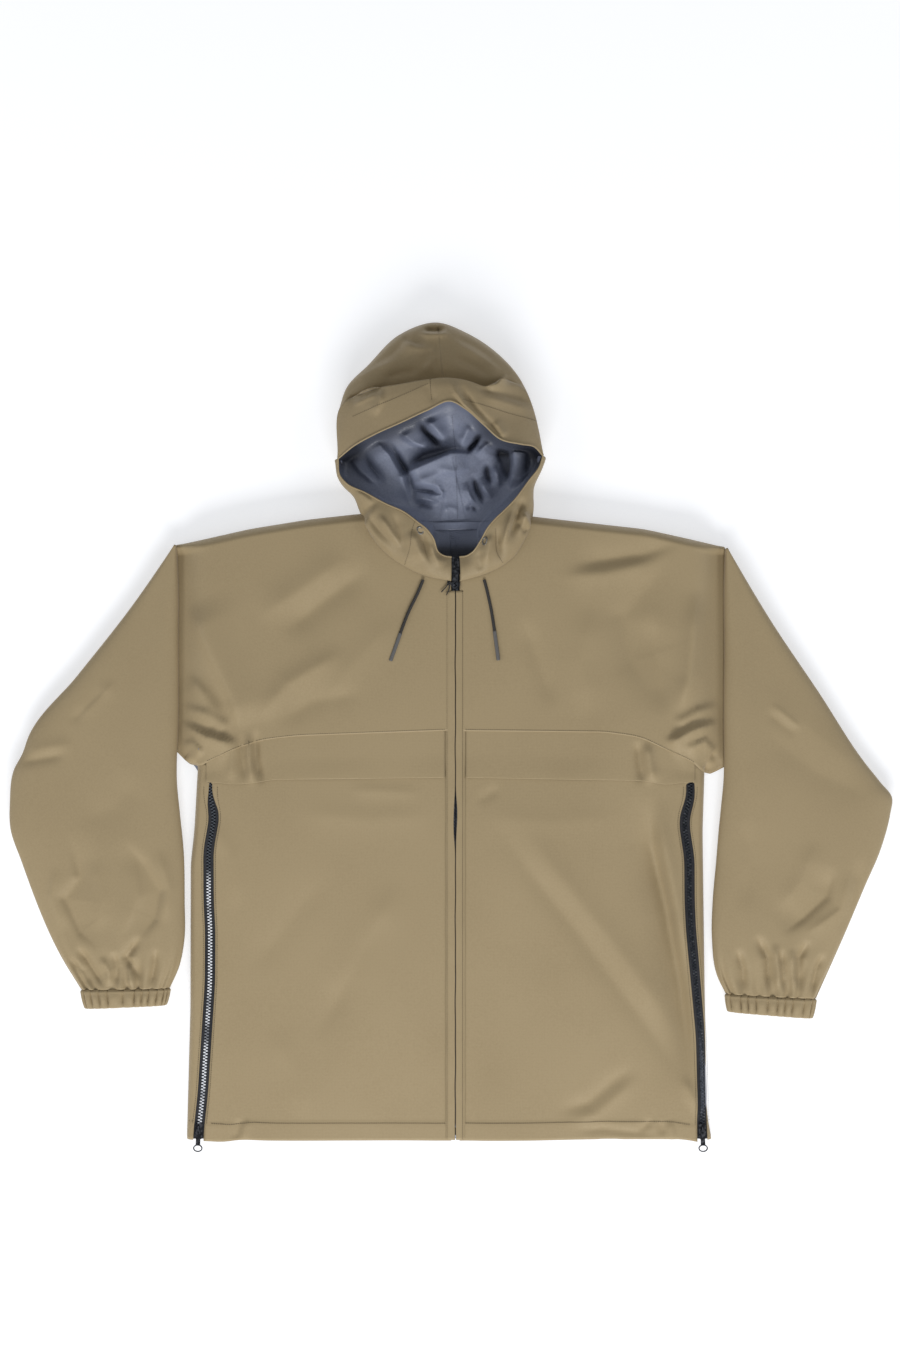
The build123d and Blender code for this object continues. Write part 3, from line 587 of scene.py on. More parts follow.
# Folds of the whole front: a line of places, a width and a height in millimetres,
# and for some a lean and the share of the line over which each end fades
front_folds = (
    (((45, -95), (100, -172), (165, -254), (232, -345), (300, -445)), 13, -3.2),
    (((75, -95), (130, -170), (190, -245), (250, -325), (297, -400)), 18, 3.7),
    (((-79, -215), (-125, -300), (-170, -385)), 16, -2.8),
    (((-62, -180), (-100, -250), (-145, -330)), 20, 2.8),
    (((-150, -170), (-200, -235), (-250, -300)), 18, -1.8),
    (((-220, -360), (-190, -420), (-180, -480)), 22, 1.8),
    (((230, -405), (170, -456), (125, -468)), 9, -3),
    (((235, -420), (180, -468), (140, -480)), 9, 2.5),
    (((243, -70), (247.5, -135), (268, -218), (284.7, -317), (300, -450)),
     14, -15.2, -0.5),
    (((255.7, -75), (262, -135), (277, -218), (290.5, -300)), 9, 7, 0.3),
    (((-95, 207.5), (-150, 168), (-211, 120)), 17, -5.7),
    (((-120, 222), (-175, 183), (-240, 140)), 18, 4.6),
    (((-322, 160), (-290, 90), (-268, 45), (-256, 4)), 20, 8.5, 0.65, 0.2),
    (((-326, 75), (-302, 50), (-276, 16)), 12, 6, -0.5),
    (((-242, 12), (-200, 62), (-125, 105)), 14, 4.9),
    (((-215, 12), (-170, 40), (-100, 52)), 14, -3),
    (((144, 207.5), (190, 213.5), (235, 219.9), (284.7, 236.5)), 12, -5, 0.4),
    (((130, 193), (190, 197), (260, 213)), 12, 4, -0.3),
    (((285, 236), (250, 190), (214, 144), (222, 90), (256, 34)), 30, -6.6, 0.35, 0.35),
    (((243, 150), (258, 80), (262, 20)), 16, -5, -0.3),
    (((301, 178.6), (293, 71), (276.4, 13.3)), 11, 9.1),
    (((86, 145.5), (108, 90), (127.6, 29.8)), 12, -3),
    (((175, 160), (160, 90), (172, 20)), 20, 3.4),
    (((-60, 150), (-130, 75), (-160, 20)), 20, 2.3),
    (((-240, 8), (-238.5, -30), (-231, -64)), 4.5, -6.5),
    (((-248.5, 4), (-247, -30), (-242.5, -64)), 4.5, 6.8),
    (((-256.5, 2), (-256, -30), (-252, -60)), 5, -3.8),
    (((-262, 0), (-268, -30), (-270, -60)), 6, 4.2),
    (((229, -6), (232, -35), (236, -62)), 5, -5.7),
    (((240, -8), (244, -35), (250, -62)), 6, 6.1),
    (((331, 10), (330.5, 100), (329, 205)), 11, -3, 0.6, 0.2),
    (((-329, 195), (-330.5, 100), (-331, 45)), 11, -3, 0.6, 0.2),
    (((-336, 16), (-302, 0), (-262, -12)), 11, 10.5, -0.75, 0.2),
    (((-334, 34), (-300, 26), (-268, 8)), 9, 6, -0.5, 0.2),
    (((-332, -12), (-316, -10), (-302, -24)), 6, 7, -0.6, 0.2),
    (((-338, -18), (-326, -30)), 5, -14, 0.0, 0.1),
    (((262, -12), (300, 8), (336, 16)), 11, 10.5, -0.75, 0.2),
    (((272, 12), (302, 28), (334, 36)), 9, 6, -0.5, 0.2),
    (((286, -18), (312, -8), (330, -24)), 6, 7, -0.6, 0.2),
    (((322, -24), (334, -40)), 6, -18, 0.0, 0.1),
    (((-258, -474), (-262, -486), (-266, -503)), 3.5, -3),
    (((-250, -474), (-253, -486), (-256, -503)), 4, 2.2),
    (((232.5, -492), (248.6, -475)), 3.5, -2.8),
    (((259.8, -476), (262, -495)), 3, -2.8),
    (((270, -478), (274, -503)), 3.5, 2.8),
    (((285, -420), (300, -452), (312, -485)), 5, 3.7),
    (((150, -490), (190, -487.5), (260, -495.5)), 4, -1.8),
    (((-300, -100), (-270, -150), (-262, -220)), 12, 2.2),
    (((-130, -68), (-80, -70), (-30, -73)), 8, 1.5),
    (((30, -85), (50, -72), (62, -66)), 6, -2),
    (((-200, -95), (-100, -104), (-10, -98)), 16, 1.5),
    (((20, -100), (120, -108), (220, -100)), 16, 1.3),
)


def body_top(x, y):
    """Height of the jacket's front: a low pillow with its folds, rolling over at
    the sides and the shoulders and dipping beside the sleeves."""
    side_roll, shoulder_roll, edge_height = 0.009, 0.013, 0.0016
    dip_x, dip_reach, dip_height = 0.341, 0.024, 0.0070
    side_end, body_end = -0.045, -0.03
    x, y = np.asarray(x, float), np.asarray(y, float)
    out = np.abs(x)
    left = x > 0

    def on_side(edge_of, at):
        return np.where(left, edge_of("left", at), edge_of("right", at))

    def rolled_over(height, inside):
        """A quarter round from the given height down to the edge."""
        return edge_height + (height - edge_height) * np.sqrt(1 - (1 - inside) ** 2)

    calm = eased((np.abs(x - closure_x) - 0.012) / 0.03)
    foot = eased((y + 0.478) / 0.03)
    near_zip = on_side(zip_line, y) - out
    calm *= np.where(y < -0.06, np.maximum(foot, eased((near_zip - 0.009) / 0.02)), 1)
    folds = sum(fold(x, y, *given) for given in front_folds)
    rise = 0.0011 * np.sin(21 * x + 3) * np.sin(17 * y + 1)
    lift = np.where(y < -0.3, 0.0012 * np.sin(26 * x + 0.8) * (-0.3 - y) / 0.2, 0)
    z = front_plane(y) + calm * (folds + rise + lift)
    dip = eased((y + 0.065) / 0.035) * eased((0.24 - y) / 0.02)
    z -= (z - dip_height) * dip * np.exp(
        -((np.minimum(out - dip_x, 0) / dip_reach) ** 2))
    rolled = rolled_over(z, np.clip((on_side(side_edge, y) - out) / side_roll, 0, 1))
    back_up = eased((y - side_end) / (body_end - side_end))
    z = np.where(y < side_end, rolled,
                 np.where(y < body_end, rolled + (z - rolled) * back_up, z))
    below = np.clip((on_side(shoulder_y, out) - y) / shoulder_roll, 0, 1)
    z = np.where(out > 0.088, rolled_over(z, below), z)
    return z


def spread(*runs):
    """Places between given ends, each run with its own count."""
    pieces = [np.linspace(a, b, n, endpoint=False) for a, b, n in runs]
    return np.concatenate([*pieces, [runs[-1][1]]])


def on_front(x, y, over=0.0):
    return np.stack([x, y, body_top(x, y) + over], -1)


def panel_columns(name, columns, low, high, rows, over=0.0):
    """A panel of the front cut between two edges, given at each place across."""
    side = SIDES[name]
    across = np.broadcast_to(columns, (len(rows), len(columns)))
    y = low(columns) + (high(columns) - low(columns)) * rows[:, None]
    return on_front(side * across, y, over)


def hem_y(x):
    return soft_follow(hem_run, x)


# The back panel lies flat on the floor, out to the same edges.
def back_edge(name, y):
    low = side_edge(name, np.minimum(y, -0.04))
    return low + (0.3375 - low) * eased((y + 0.05) / 0.035)


back_rows = spread((0, 1, 150))
across = spread((-1, 1, 130))
wide = np.broadcast_to(across, (len(back_rows), len(across)))
side_of = wide > 0
reach = np.abs(wide) * 0.3375
back_neck = 0.262 + 0.010 * eased((reach - 0.08) / 0.02)
top = np.where(side_of, shoulder_y("left", reach), shoulder_y("right", reach))
top = np.where(reach < 0.1, np.minimum(back_neck, top), top) - 0.0008
y = hem_end + (top - hem_end) * back_rows[:, None]
edge = np.where(side_of, back_edge("left", y), back_edge("right", y)) - 0.0006
x = wide * edge
z = 0.0006 + 0.0005 * (1 + np.sin(19 * x) * np.sin(14 * y))
back_panel = cloth_object("back_cloth", np.stack([x, y, z], -1), (0, 0, -1),
                          thick=0.0007)
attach(back_panel, "root")
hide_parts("back_panel")

neck_half, neck_deep, neck_middle = 0.098, 0.076, 0.272


def neck_cut(name, out):
    """Where the yoke ends: at the neck, or at the shoulder further out."""
    curve = neck_middle - neck_deep * np.sqrt(
        1 - np.clip(out / neck_half, 0, 1) ** 2)
    return np.where(out < neck_half, np.minimum(curve, shoulder_y(name, out)),
                    shoulder_y(name, out))


flap_foot = {
    "left": ((0, -53), (200, -56.5), (241, -57.5), (262, -62.5), (285, -59.5),
             (310, -58)),
    "right": ((0, -53.3), (220, -55.8), (236, -59.5), (266, -62), (285, -59.5),
              (310, -58)),
}
placket_half = 0.012
front_gap = 0.0052  # from the middle of the front zip to the cloth's edge


def zip_gap(y, taper, closing):
    """From a side zip's middle to the cloth's edge: it narrows by the taper below the
    slider, and closes above the zip's top."""
    return 0.0064 - taper * eased((y + 0.098) / 0.034) - (
        closing - taper) * eased((y + 0.0605) / 0.004)


for name, side in SIDES.items():
    inner = side * closure_x + front_gap
    taper = 0.0044 if side < 0 else 0.0012
    # Yoke: from the chest seam to the neck and the shoulder
    columns = spread((inner, 0.085, 26), (0.085, 0.0985, 14), (0.0985, 0.3, 56),
                     (0.3, 0.3385, 20))
    rows = spread((0, 0.94, 70), (0.94, 1, 14))
    yoke = cloth_object(f"{name}_yoke_cloth", panel_columns(
        name, columns, lambda out: seam_y(name, out), lambda out: neck_cut(name, out),
        rows, 0.0016), (0, 0, 1))
    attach(yoke, "root")
    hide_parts(f"{name}_yoke")
    # Lower front: from the hem to under the yoke, and out to the side zip
    rows = spread((0, 0.06, 10), (0.06, 1, 112))
    share = spread((0, 1, 84))
    about = inner + share * (0.292 - inner)
    y = hem_y(side * about) + (
        seam_y(name, about) + 0.006 - hem_y(side * about)) * rows[:, None]
    x = inner + (zip_line(name, y) - zip_gap(y, taper, 0.0084) - inner) * share
    turned = 0.0007 * eased((hem_y(side * x) + 0.0225 - y) / 0.0015)
    lower = np.stack([side * x, y, body_top(side * x, y) + turned], -1)
    lower_front = cloth_object(f"{name}_front_cloth", lower, (0, 0, 1))
    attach(lower_front, "root")
    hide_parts(f"{name}_front")
    # Side panel: from the side zip round the side fold
    y = spread((-0.5005, -0.065, 100), (-0.065, -0.05, 12), (-0.05, -0.036, 6))[:, None]
    share = np.sin(0.5 * np.pi * spread((0, 1, 16)))[None, :]
    start = zip_line(name, y) + zip_gap(y, taper, 0.0104)
    x = start + (side_edge(name, y) - start) * share
    y = np.broadcast_to(y, x.shape)
    turned = 0.0007 * eased((-0.4785 - y) / 0.0015) * (share < 0.8)
    strip = np.stack([side * x, y, body_top(side * x, y) + turned - 0.0003], -1)
    side_panel = cloth_object(f"{name}_side_cloth", strip, (0, 0, 1))
    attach(side_panel, "root")
    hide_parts(f"{name}_side_panel")

# ---- Chest flaps ---------------------------------------------------------------
# A storm flap hangs from each chest seam. Its top is caught in the seam, its foot
# is a turned and pressed edge that stands a little off the front.

for name, side in SIDES.items():
    start = side * closure_x + placket_half + 0.001
    columns = spread((start, 0.292, 96), (0.292, 0.3, 6))
    rows = spread((0, 0.1, 6), (0.1, 1, 20))
    low = lambda out: soft_follow(flap_foot[name], out)
    high = lambda out: seam_y(name, out) + 0.004
    grid = panel_columns(name, columns, low, high, rows, 0.0011)
    off = eased((0.5 - rows[:, None]) / 0.5)
    grid[:, :, 2] += 0.0011 * off * (1 + 0.5 * np.sin(40 * columns + 2)[None, :])
    flap = cloth_object(f"{name}_flap_cloth", grid, (0, 0, 1), thick=0.0010)
    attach(flap, "root")
    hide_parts(f"{name}_chest_flap")

# ---- Placket over the front zip --------------------------------------------------
# Two narrow facings, one on each front, are stitched down outside the zip and meet
# over it. The slit between them gapes a little at the chest.

placket_top = 0.176
gape_run = ((-500, 0.6), (-140, 0.5), (-118, 1.9), (-100, 2.4), (-88, 1.9), (-70, 0.5),
            (176, 0.6))
for name, side in SIDES.items():
    y = spread((-0.5003, placket_top, 220))[:, None]
    share = spread((0, 0.25, 3), (0.25, 1, 7))[None, :]
    wave = 0.00035 * np.sin(90 * y) * np.sin(31 * y + 2)
    slit = soft_follow(gape_run, y) + wave * side
    outer = placket_half + 0.0002 * np.sin(70 * y + side)
    x = closure_x + side * (outer + (slit - outer) * share)
    height = 0.0010 + 0.0014 * eased(share / 0.45)
    height = height + 0.0002 * np.sin(130 * y + 2 * side) * share
    y = np.broadcast_to(y, x.shape)
    grid = np.stack([x, y, front_plane(y) + height], -1)
    placket = cloth_object(f"{name}_placket_cloth", grid, (0, 0, 1), thick=0.0007)
    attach(placket, "root")
    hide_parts(f"{name}_placket")

# ---- Zips ------------------------------------------------------------------------
# Moulded black sliders run on metal teeth clamped to charcoal tapes. The tapes are
# sewn under the cloth's edges; the front zip ends in a box, the side zips in stops.

zip_tape_cloth = cloth_material(
    "zip_tape_cloth", (0.018, 0.019, 0.024), (0.008, 0.008, 0.01),
    {"Thread": 0.0011, "Mottle": 0.5, "Weave": 0.5, "Roughness": 0.8}, 0.0001,
)


def worn_metal(name, colour, bare, roughness, metallic=0.9):
    """Plated or painted metal, rubbed brighter in small patches."""
    material = plain_material(name, colour, roughness, metallic)
    tree = material.node_tree
    shader = tree.nodes["Principled BSDF"]
    noise = object_noise(tree, 260.0, 4.0)
    ramp = add_node(tree, "ShaderNodeValToRGB")
    low, high = ramp.color_ramp.elements
    low.position, low.color = 0.45, (*colour, 1.0)
    high.position, high.color = 0.72, (*bare, 1.0)
    link(tree, noise, ramp.inputs["Fac"])
    link(tree, ramp.outputs["Color"], shader.inputs["Base Color"])
    add_relief(tree, noise, 0.5, 0.00004)
    return material


slider_metal = worn_metal("slider_metal", (0.03, 0.031, 0.035), (0.16, 0.165, 0.18),
                          0.34)
# Painted reflection: this near-white colour stands in for light off the teeth;
# dark_tooth is the same metal without it.
tooth_metal = worn_metal("tooth_metal", (0.85, 0.88, 0.93), (1.0, 1.0, 1.0), 0.25, 0.1)
dark_tooth = worn_metal("dark_tooth_metal", (0.09, 0.1, 0.115), (0.3, 0.31, 0.34), 0.3)

# Painted reflection: the teeth's brightness along the zip, from the hem up (y in
# metres)
painted_reflection_stops = ((-0.481, 0.9), (-0.452, 0.9), (-0.444, 0.4), (-0.436, 1.0), (-0.386, 1.0),
          (-0.376, 0.2), (-0.362, 0.2), (-0.354, 0.9), (-0.342, 0.9), (-0.330, 0.4),
          (-0.316, 1.0), (-0.224, 1.0), (-0.215, 0.4), (-0.206, 1.0), (-0.184, 1.0),
          (-0.166, 0.0))


def paint_reflection_on_teeth(material, dull):
    """Paints a reflection: the metal bright where light reflects along the zip, dull
    elsewhere.
    """
    tree = material.node_tree
    shader = tree.nodes["Principled BSDF"]
    bright = shader.inputs["Base Color"].links[0].from_socket
    place = tree.nodes.new("ShaderNodeTexCoord")
    parts = tree.nodes.new("ShaderNodeSeparateXYZ")
    link(tree, place.outputs["Object"], parts.inputs["Vector"])
    ramp = tree.nodes.new("ShaderNodeValToRGB")
    foot_y, top_y = -0.5, 0.0
    span = add_node(tree, "ShaderNodeMapRange", {"From Min": foot_y, "From Max": top_y})
    link(tree, parts.outputs["Y"], span.inputs["Value"])
    link(tree, span.outputs["Result"], ramp.inputs["Fac"])
    stops = ramp.color_ramp.elements
    stops[0].color = (0.9, 0.9, 0.9, 1)
    stops[1].color = (0, 0, 0, 1)
    for y, value in painted_reflection_stops:
        stops.new((y - foot_y) / (top_y - foot_y)).color = (value, value, value, 1)
    colour = colour_mix(tree, ramp.outputs["Color"], dull, bright)
    link(tree, colour, shader.inputs["Base Color"])


# The right side zip's teeth get the painted reflection along their length.
paint_reflection_on_teeth(tooth_metal, (0.09, 0.1, 0.115))

for node in ("left_front_tape", "right_front_tape"):
    give_node(node, zip_tape_cloth)
for node in ("left_front_teeth", "right_front_teeth"):
    give_node(node, dark_tooth)
for node in ("front_top_stops", "front_zip_box", "side_bottom_stops", "front_slider",
             "front_pull", "left_side_top_stop", "right_side_top_stop",
             "left_side_slider", "right_side_slider", "left_side_pull",
             "right_side_pull"):
    give_node(node, slider_metal)


tooth_pitch = 0.0038
tooth_long, tooth_foot, tooth_tip, tooth_high = 0.0022, 0.0019, 0.0015, 0.0028
tooth_off = 0.0013  # from the zip's middle to the middle of a row
chain_depth = 0.0017  # of the teeth's middle below the front's face
tape_depth = 0.0014
tape_near, tape_far = 0.0024, 0.0098  # the tape's two edges, from the zip's middle


def tooth_shape():
    """One tooth, clamped over the tape's corded edge, its tip towards +X."""
    shape = bmesh.new()
    bmesh.ops.create_cube(shape, size=1.0)
    for corner in shape.verts:
        corner.co.x *= tooth_long
        corner.co.y *= tooth_foot if corner.co.x < 0 else tooth_tip
        corner.co.z *= tooth_high
    bmesh.ops.bevel(shape, geom=shape.edges[:], offset=0.0004, segments=1,
                    affect="EDGES")
    mesh = bpy.data.meshes.new("tooth")
    shape.to_mesh(mesh)
    shape.free()
    return put_in_scene(bpy.data.objects.new("tooth", mesh))


def geometry_tree(name, inputs):
    """A geometry tree with a geometry input and output and named settings."""
    tree = bpy.data.node_groups.new(name, "GeometryNodeTree")
    tree.interface.new_socket(
        "Geometry", in_out="INPUT", socket_type="NodeSocketGeometry")
    for label, (kind, value) in inputs.items():
        socket = tree.interface.new_socket(label, in_out="INPUT", socket_type=kind)
        if value is not None:
            socket.default_value = value
    tree.interface.new_socket(
        "Geometry", in_out="OUTPUT", socket_type="NodeSocketGeometry")
    return tree, tree.nodes.new("NodeGroupInput"), tree.nodes.new("NodeGroupOutput")


def repeat_tree():
    """Sets one shape at equal steps along a line, turned to follow it."""
    tree, given, result = geometry_tree("set_along_line", {
        "Shape": ("NodeSocketObject", None),
        "Pitch": ("NodeSocketFloat", tooth_pitch),
        "Finish": ("NodeSocketMaterial", None),
    })
    line = add_node(tree, "GeometryNodeResampleCurve", mode="LENGTH")
    shape = add_node(tree, "GeometryNodeObjectInfo")
    place = tree.nodes.new("GeometryNodeInstanceOnPoints")
    tangent = tree.nodes.new("GeometryNodeInputTangent")
    upright = tree.nodes.new("GeometryNodeInputNormal")
    turn = add_node(tree, "FunctionNodeAxesToRotation",
                    primary_axis="Y", secondary_axis="Z")
    as_real = tree.nodes.new("GeometryNodeRealizeInstances")
    paint = tree.nodes.new("GeometryNodeSetMaterial")
    link(tree, given.outputs["Geometry"], line.inputs["Curve"])
    link(tree, given.outputs["Pitch"], line.inputs["Length"])
    link(tree, given.outputs["Shape"], shape.inputs["Object"])
    link(tree, line.outputs["Curve"], place.inputs["Points"])
    link(tree, shape.outputs["Geometry"], place.inputs["Instance"])
    link(tree, tangent.outputs["Tangent"], turn.inputs["Primary Axis"])
    link(tree, upright.outputs["Normal"], turn.inputs["Secondary Axis"])
    link(tree, turn.outputs["Rotation"], place.inputs["Rotation"])
    link(tree, place.outputs["Instances"], as_real.inputs["Geometry"])
    link(tree, as_real.outputs["Geometry"], paint.inputs["Geometry"])
    link(tree, given.outputs["Finish"], paint.inputs["Material"])
    link(tree, paint.outputs["Geometry"], result.inputs["Geometry"])
    return tree


set_along_line = repeat_tree()


def set_on_lines(name, lines, settings):
    """Sets a shape along lines of points and keeps the plain mesh that comes out."""
    curve = bpy.data.curves.new(name + "_lines", "CURVE")
    curve.dimensions = "3D"
    curve.twist_mode = "Z_UP"
    for line in lines:
        spline = curve.splines.new("POLY")
        spline.points.add(len(line) - 1)
        for control, place in zip(spline.points, line):
            control.co = (*place, 1.0)
    holder = put_in_scene(bpy.data.objects.new(name + "_lines", curve))
    maker = holder.modifiers.new("make", "NODES")
    maker.node_group = set_along_line
    for item in set_along_line.interface.items_tree:
        if item.in_out == "INPUT" and item.name in settings:
            maker[item.identifier] = settings[item.name]
    bpy.context.view_layer.update()
    evaluated = holder.evaluated_get(bpy.context.evaluated_depsgraph_get())
    mesh = bpy.data.meshes.new_from_object(evaluated)
    mesh.name = name
    bpy.data.objects.remove(holder)
    return put_in_scene(bpy.data.objects.new(name, mesh))


tooth = tooth_shape()
for name, side in SIDES.items():
    for edge, way in {"inner": -1, "outer": 1}.items():
        y = spread((-0.497, -0.0598, 110))
        if edge == "outer":
            y = y + tooth_pitch / 2
        x = zip_line(name, y) + way * tooth_off
        line = [(side * a, b, body_top(side * a, b) - chain_depth)
                for a, b in zip(x, y)]
        if side * way > 0:
            line = line[::-1]
        # The right side zip's teeth carry the painted reflection; the left's are the
        # same metal without it.
        teeth = set_on_lines(f"{name}_side_teeth_{edge}_row", [line], {
            "Shape": tooth, "Pitch": tooth_pitch,
            "Finish": tooth_metal if side < 0 else dark_tooth})
        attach(teeth, "root")
        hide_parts(f"{name}_side_teeth_{edge}")
        y = spread((-0.4995, -0.0575, 130))[:, None]
        share = spread((0, 1, 5))[None, :]
        out = tape_near + (tape_far - tape_near) * share
        room = side_edge(name, y) - zip_line(name, y) - 0.0022
        out = np.minimum(out, room) if way > 0 else out
        x = zip_line(name, y) + way * out
        y = np.broadcast_to(y, x.shape)
        plane = np.minimum(body_top(side * x, y), body_top(
            side * zip_line(name, y), y) + 0.0002)
        grid = np.stack([side * x, y, plane - tape_depth], -1)
        tape = cloth_object(f"{name}_side_tape_{edge}_strip", grid, (0, 0, 1),
                            lined=False, thick=0.0008, finish=zip_tape_cloth)
        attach(tape, "root")
        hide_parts(f"{name}_side_tape_{edge}")
bpy.data.objects.remove(tooth)

# ---- Collar ----------------------------------------------------------------------
# The front of the hood below the face opening, in shell cloth. It is sewn into the
# neck seam on both fronts and stands up to the opening's turned edge.

# The edge of the face opening, from the closure up one side to its corner (mm)
opening_low = {
    "right": [(1.2, 217.2, 36.8), (-6.5, 218, 38.5), (-14.5, 222.2, 44),
              (-21.3, 239.7, 51.5), (-28.4, 249.4, 53), (-40.7, 259.3, 52.5),
              (-56.6, 271.2, 50), (-78.6, 281.2, 48), (-104.2, 295.2, 45),
              (-127.5, 307, 42.5), (-135, 316, 42.5), (-137.2, 336.5, 45)],
    "left": [(11, 217.2, 36.8), (18.5, 218, 38.5), (26.5, 222.2, 44), (37.7, 237.9, 50),
             (45.6, 252, 54), (54.7, 262.7, 54), (66, 273.5, 52), (78, 286, 50),
             (95.6, 309.6, 46), (109.2, 328.3, 44), (112.8, 340.2, 44)],
}
# The collar's foot: on the neck seam, then down the side of the hood to the floor
collar_foot = {
    "right": [(0.6, 187.8, 0), (-25, 192.7, 0), (-39, 197, 0), (-55, 205, 0),
              (-68, 213, 0), (-89, 232, 0), (-103, 254, 0), (-109, 274, 14),
              (-111, 290, 6), (-122, 302, 3), (-133, 330, 3)],
    "left": [(11.4, 187.8, 0), (30, 192.5, 0), (47.7, 198.4, 0), (66, 208, 0),
             (78.7, 219, 0), (89, 235, 0), (98, 254, 0), (100, 276, 14), (94, 298, 5),
             (107, 330, 3)],
}
collar_folds = (
    (((-40, 256), (-34, 236), (-27.5, 216), (-22, 206)), 5, -11, 0.5, 0.45),
    (((-47, 250), (-41, 230), (-33, 210)), 7, 8.5, -0.4),
    (((-26, 236), (-20, 220), (-12, 203)), 6, 6, 0.4),
    (((-126, 288), (-108, 262), (-88, 238), (-64, 216)), 7, 9, 0.6, 0.4),
    (((-110, 280), (-94, 258), (-76, 238), (-56, 222)), 6, -8.5, -0.3, 0.45),
    (((-88, 270), (-74, 250), (-60, 228)), 6, 6, -0.5),
    (((-70, 272), (-62, 245), (-54, 214)), 5, -5.2, 0.5),
    (((-116, 300), (-104, 292), (-92, 280)), 6, 5),
    (((88, 292), (82, 270), (75, 250), (68.5, 230)), 5, -15, 0.3, 0.4),
    (((98, 290), (91, 266), (83, 240)), 5.5, 10, -0.3, 0.45),
    (((75, 276), (69, 252), (62, 224)), 5.5, 10, 0.5, 0.45),
    (((58, 256), (57, 232), (63, 208)), 4.5, -9, 0.0, 0.45),
    (((50, 246), (46, 224), (44, 206)), 6, 6.6, -0.4),
    (((36, 226), (35, 210), (38, 198)), 5, -5),
    (((80, 262), (90, 249), (99, 254)), 5, -8, 0.4),
    (((90, 270), (98, 262), (104, 268)), 4, 5),
)


def cloth_part(material):
    return next(node for node in material.node_tree.nodes if node.type == "GROUP")


def painted_shade_copy(name, finish, shade):
    """The same cloth in a deeper tone, as painted shade."""
    material = finish.copy()
    material.name = name
    cloth = cloth_part(material)
    for label in ("Colour", "Low"):
        tone = cloth.inputs[label].default_value
        cloth.inputs[label].default_value = (*[shade * part for part in tone[:3]], 1.0)
    return material


def unit(ways):
    """The same directions, each one metre long."""
    return ways / np.linalg.norm(ways, axis=-1, keepdims=True)


def level_way(start, end):
    """The level direction from one place to another."""
    return unit((end - start) * np.array([1, 1, 0]))


# Painted shade: the hood's and collar's cloth is 12% darker than the body's.
shaded_hood_khaki = painted_shade_copy("hood_khaki_cloth", shell_khaki, 0.88)
collar_tops = {}
for name, side in SIDES.items():
    top = smooth_through(metres(opening_low[name]), 90)
    foot = smooth_through(metres(collar_foot[name]), 90)
    on_yoke = eased((0.262 - foot[:, 1]) / 0.01)
    on_body = body_top(foot[:, 0], np.minimum(foot[:, 1], 0.258)) + 0.0027
    foot[:, 2] = on_yoke * on_body + (1 - on_yoke) * np.maximum(foot[:, 2], 0.003)
    middle = np.array([-0.004, 0.31, 0.0])
    away = level_way(middle, foot)
    lines = [foot]
    for share, bulge, lift in ((0.12, 0.0035, 0.0015), (0.4, 0.0065, 0.0050),
                               (0.75, 0.0048, 0.0052), (0.95, 0.0012, 0.0012)):
        lines.append(foot + (top - foot) * share + away * bulge
                     + np.array([0, 0, lift]))
    lines.append(top)
    grid = smooth_through(lines, 34)
    share = np.linspace(0, 1, 34)[:, None]
    folds = sum(fold(grid[:, :, 0], grid[:, :, 1], *given) for given in collar_folds)
    grid[:, :, 2] += 0.8 * folds * eased(share / 0.12) * eased((1.02 - share) / 0.2)
    grid[:, :, 2] += 0.0006 * np.sin(260 * grid[:, :, 0] + 3) * np.sin(np.pi * share)
    collar = cloth_object(f"{name}_collar_cloth", grid,
                          lambda at: np.concatenate([
                              (at - middle)[:, :2], 0.02 + 0 * at[:, 2:]], 1),
                          thick=0.0013, finish=shaded_hood_khaki)
    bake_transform(collar)
    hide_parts(f"{name}_collar")
    collar_tops[name] = grid

# ---- Hood ------------------------------------------------------------------------
# Two shell panels meet on a seam over the crown. A brim with a drawcord channel is
# sewn round the opening, folded back over itself; inside is the grey membrane.

# Stations round the opening, each with its edge, its brim fold and its foot (mm)
stations = (
    ((-137.2, 336.5, 45), (-138.0, 338.5, 44.5), (-133.6, 331, 8)),
    ((-118, 350.5, 57), (-132.5, 402, 46), (-136.0, 404, 8)),
    ((-90.3, 364.5, 68), (-106, 416.5, 59), (-129.0, 426, 8)),
    ((-60, 377, 77), (-62, 424, 71), (-101, 456, 8)),
    ((-28, 391, 84), (-30, 428.5, 78), (-63, 493, 8)),
    ((0.6, 401.5, 88), (-6, 430.5, 80), (-16, 508, 8)),
    ((18, 392.5, 86), (18, 428, 78), (20, 495, 8)),
    ((40.4, 373.5, 82), (44, 421.5, 72), (60, 468, 8)),
    ((60.4, 357, 77), (62, 431, 62), (84, 441, 8)),
    ((85, 352, 68), (90, 421, 45), (97, 415, 8)),
    ((102, 350, 55), (104, 386, 43), (107, 383, 8)),
    ((112.8, 340.2, 44), (113.4, 342, 43.5), (107.6, 331, 8)),
)
edge, ridge, foot = (
    smooth_through([metres(station[part]) for station in stations], 150)
    for part in range(3)
)
crown_middle = np.array([-0.012, 0.40, 0.0])
inward = level_way(foot, crown_middle)
centre_share = eased(1 - np.abs(np.linspace(-1, 1, 150) + 0.04) / 0.78)[:, None]


def between(share, height):
    """A line between the brim's fold and the foot, at a share of the fold's height."""
    line = ridge + (foot - ridge) * share
    line[:, 2] = ridge[:, 2] * height
    return line


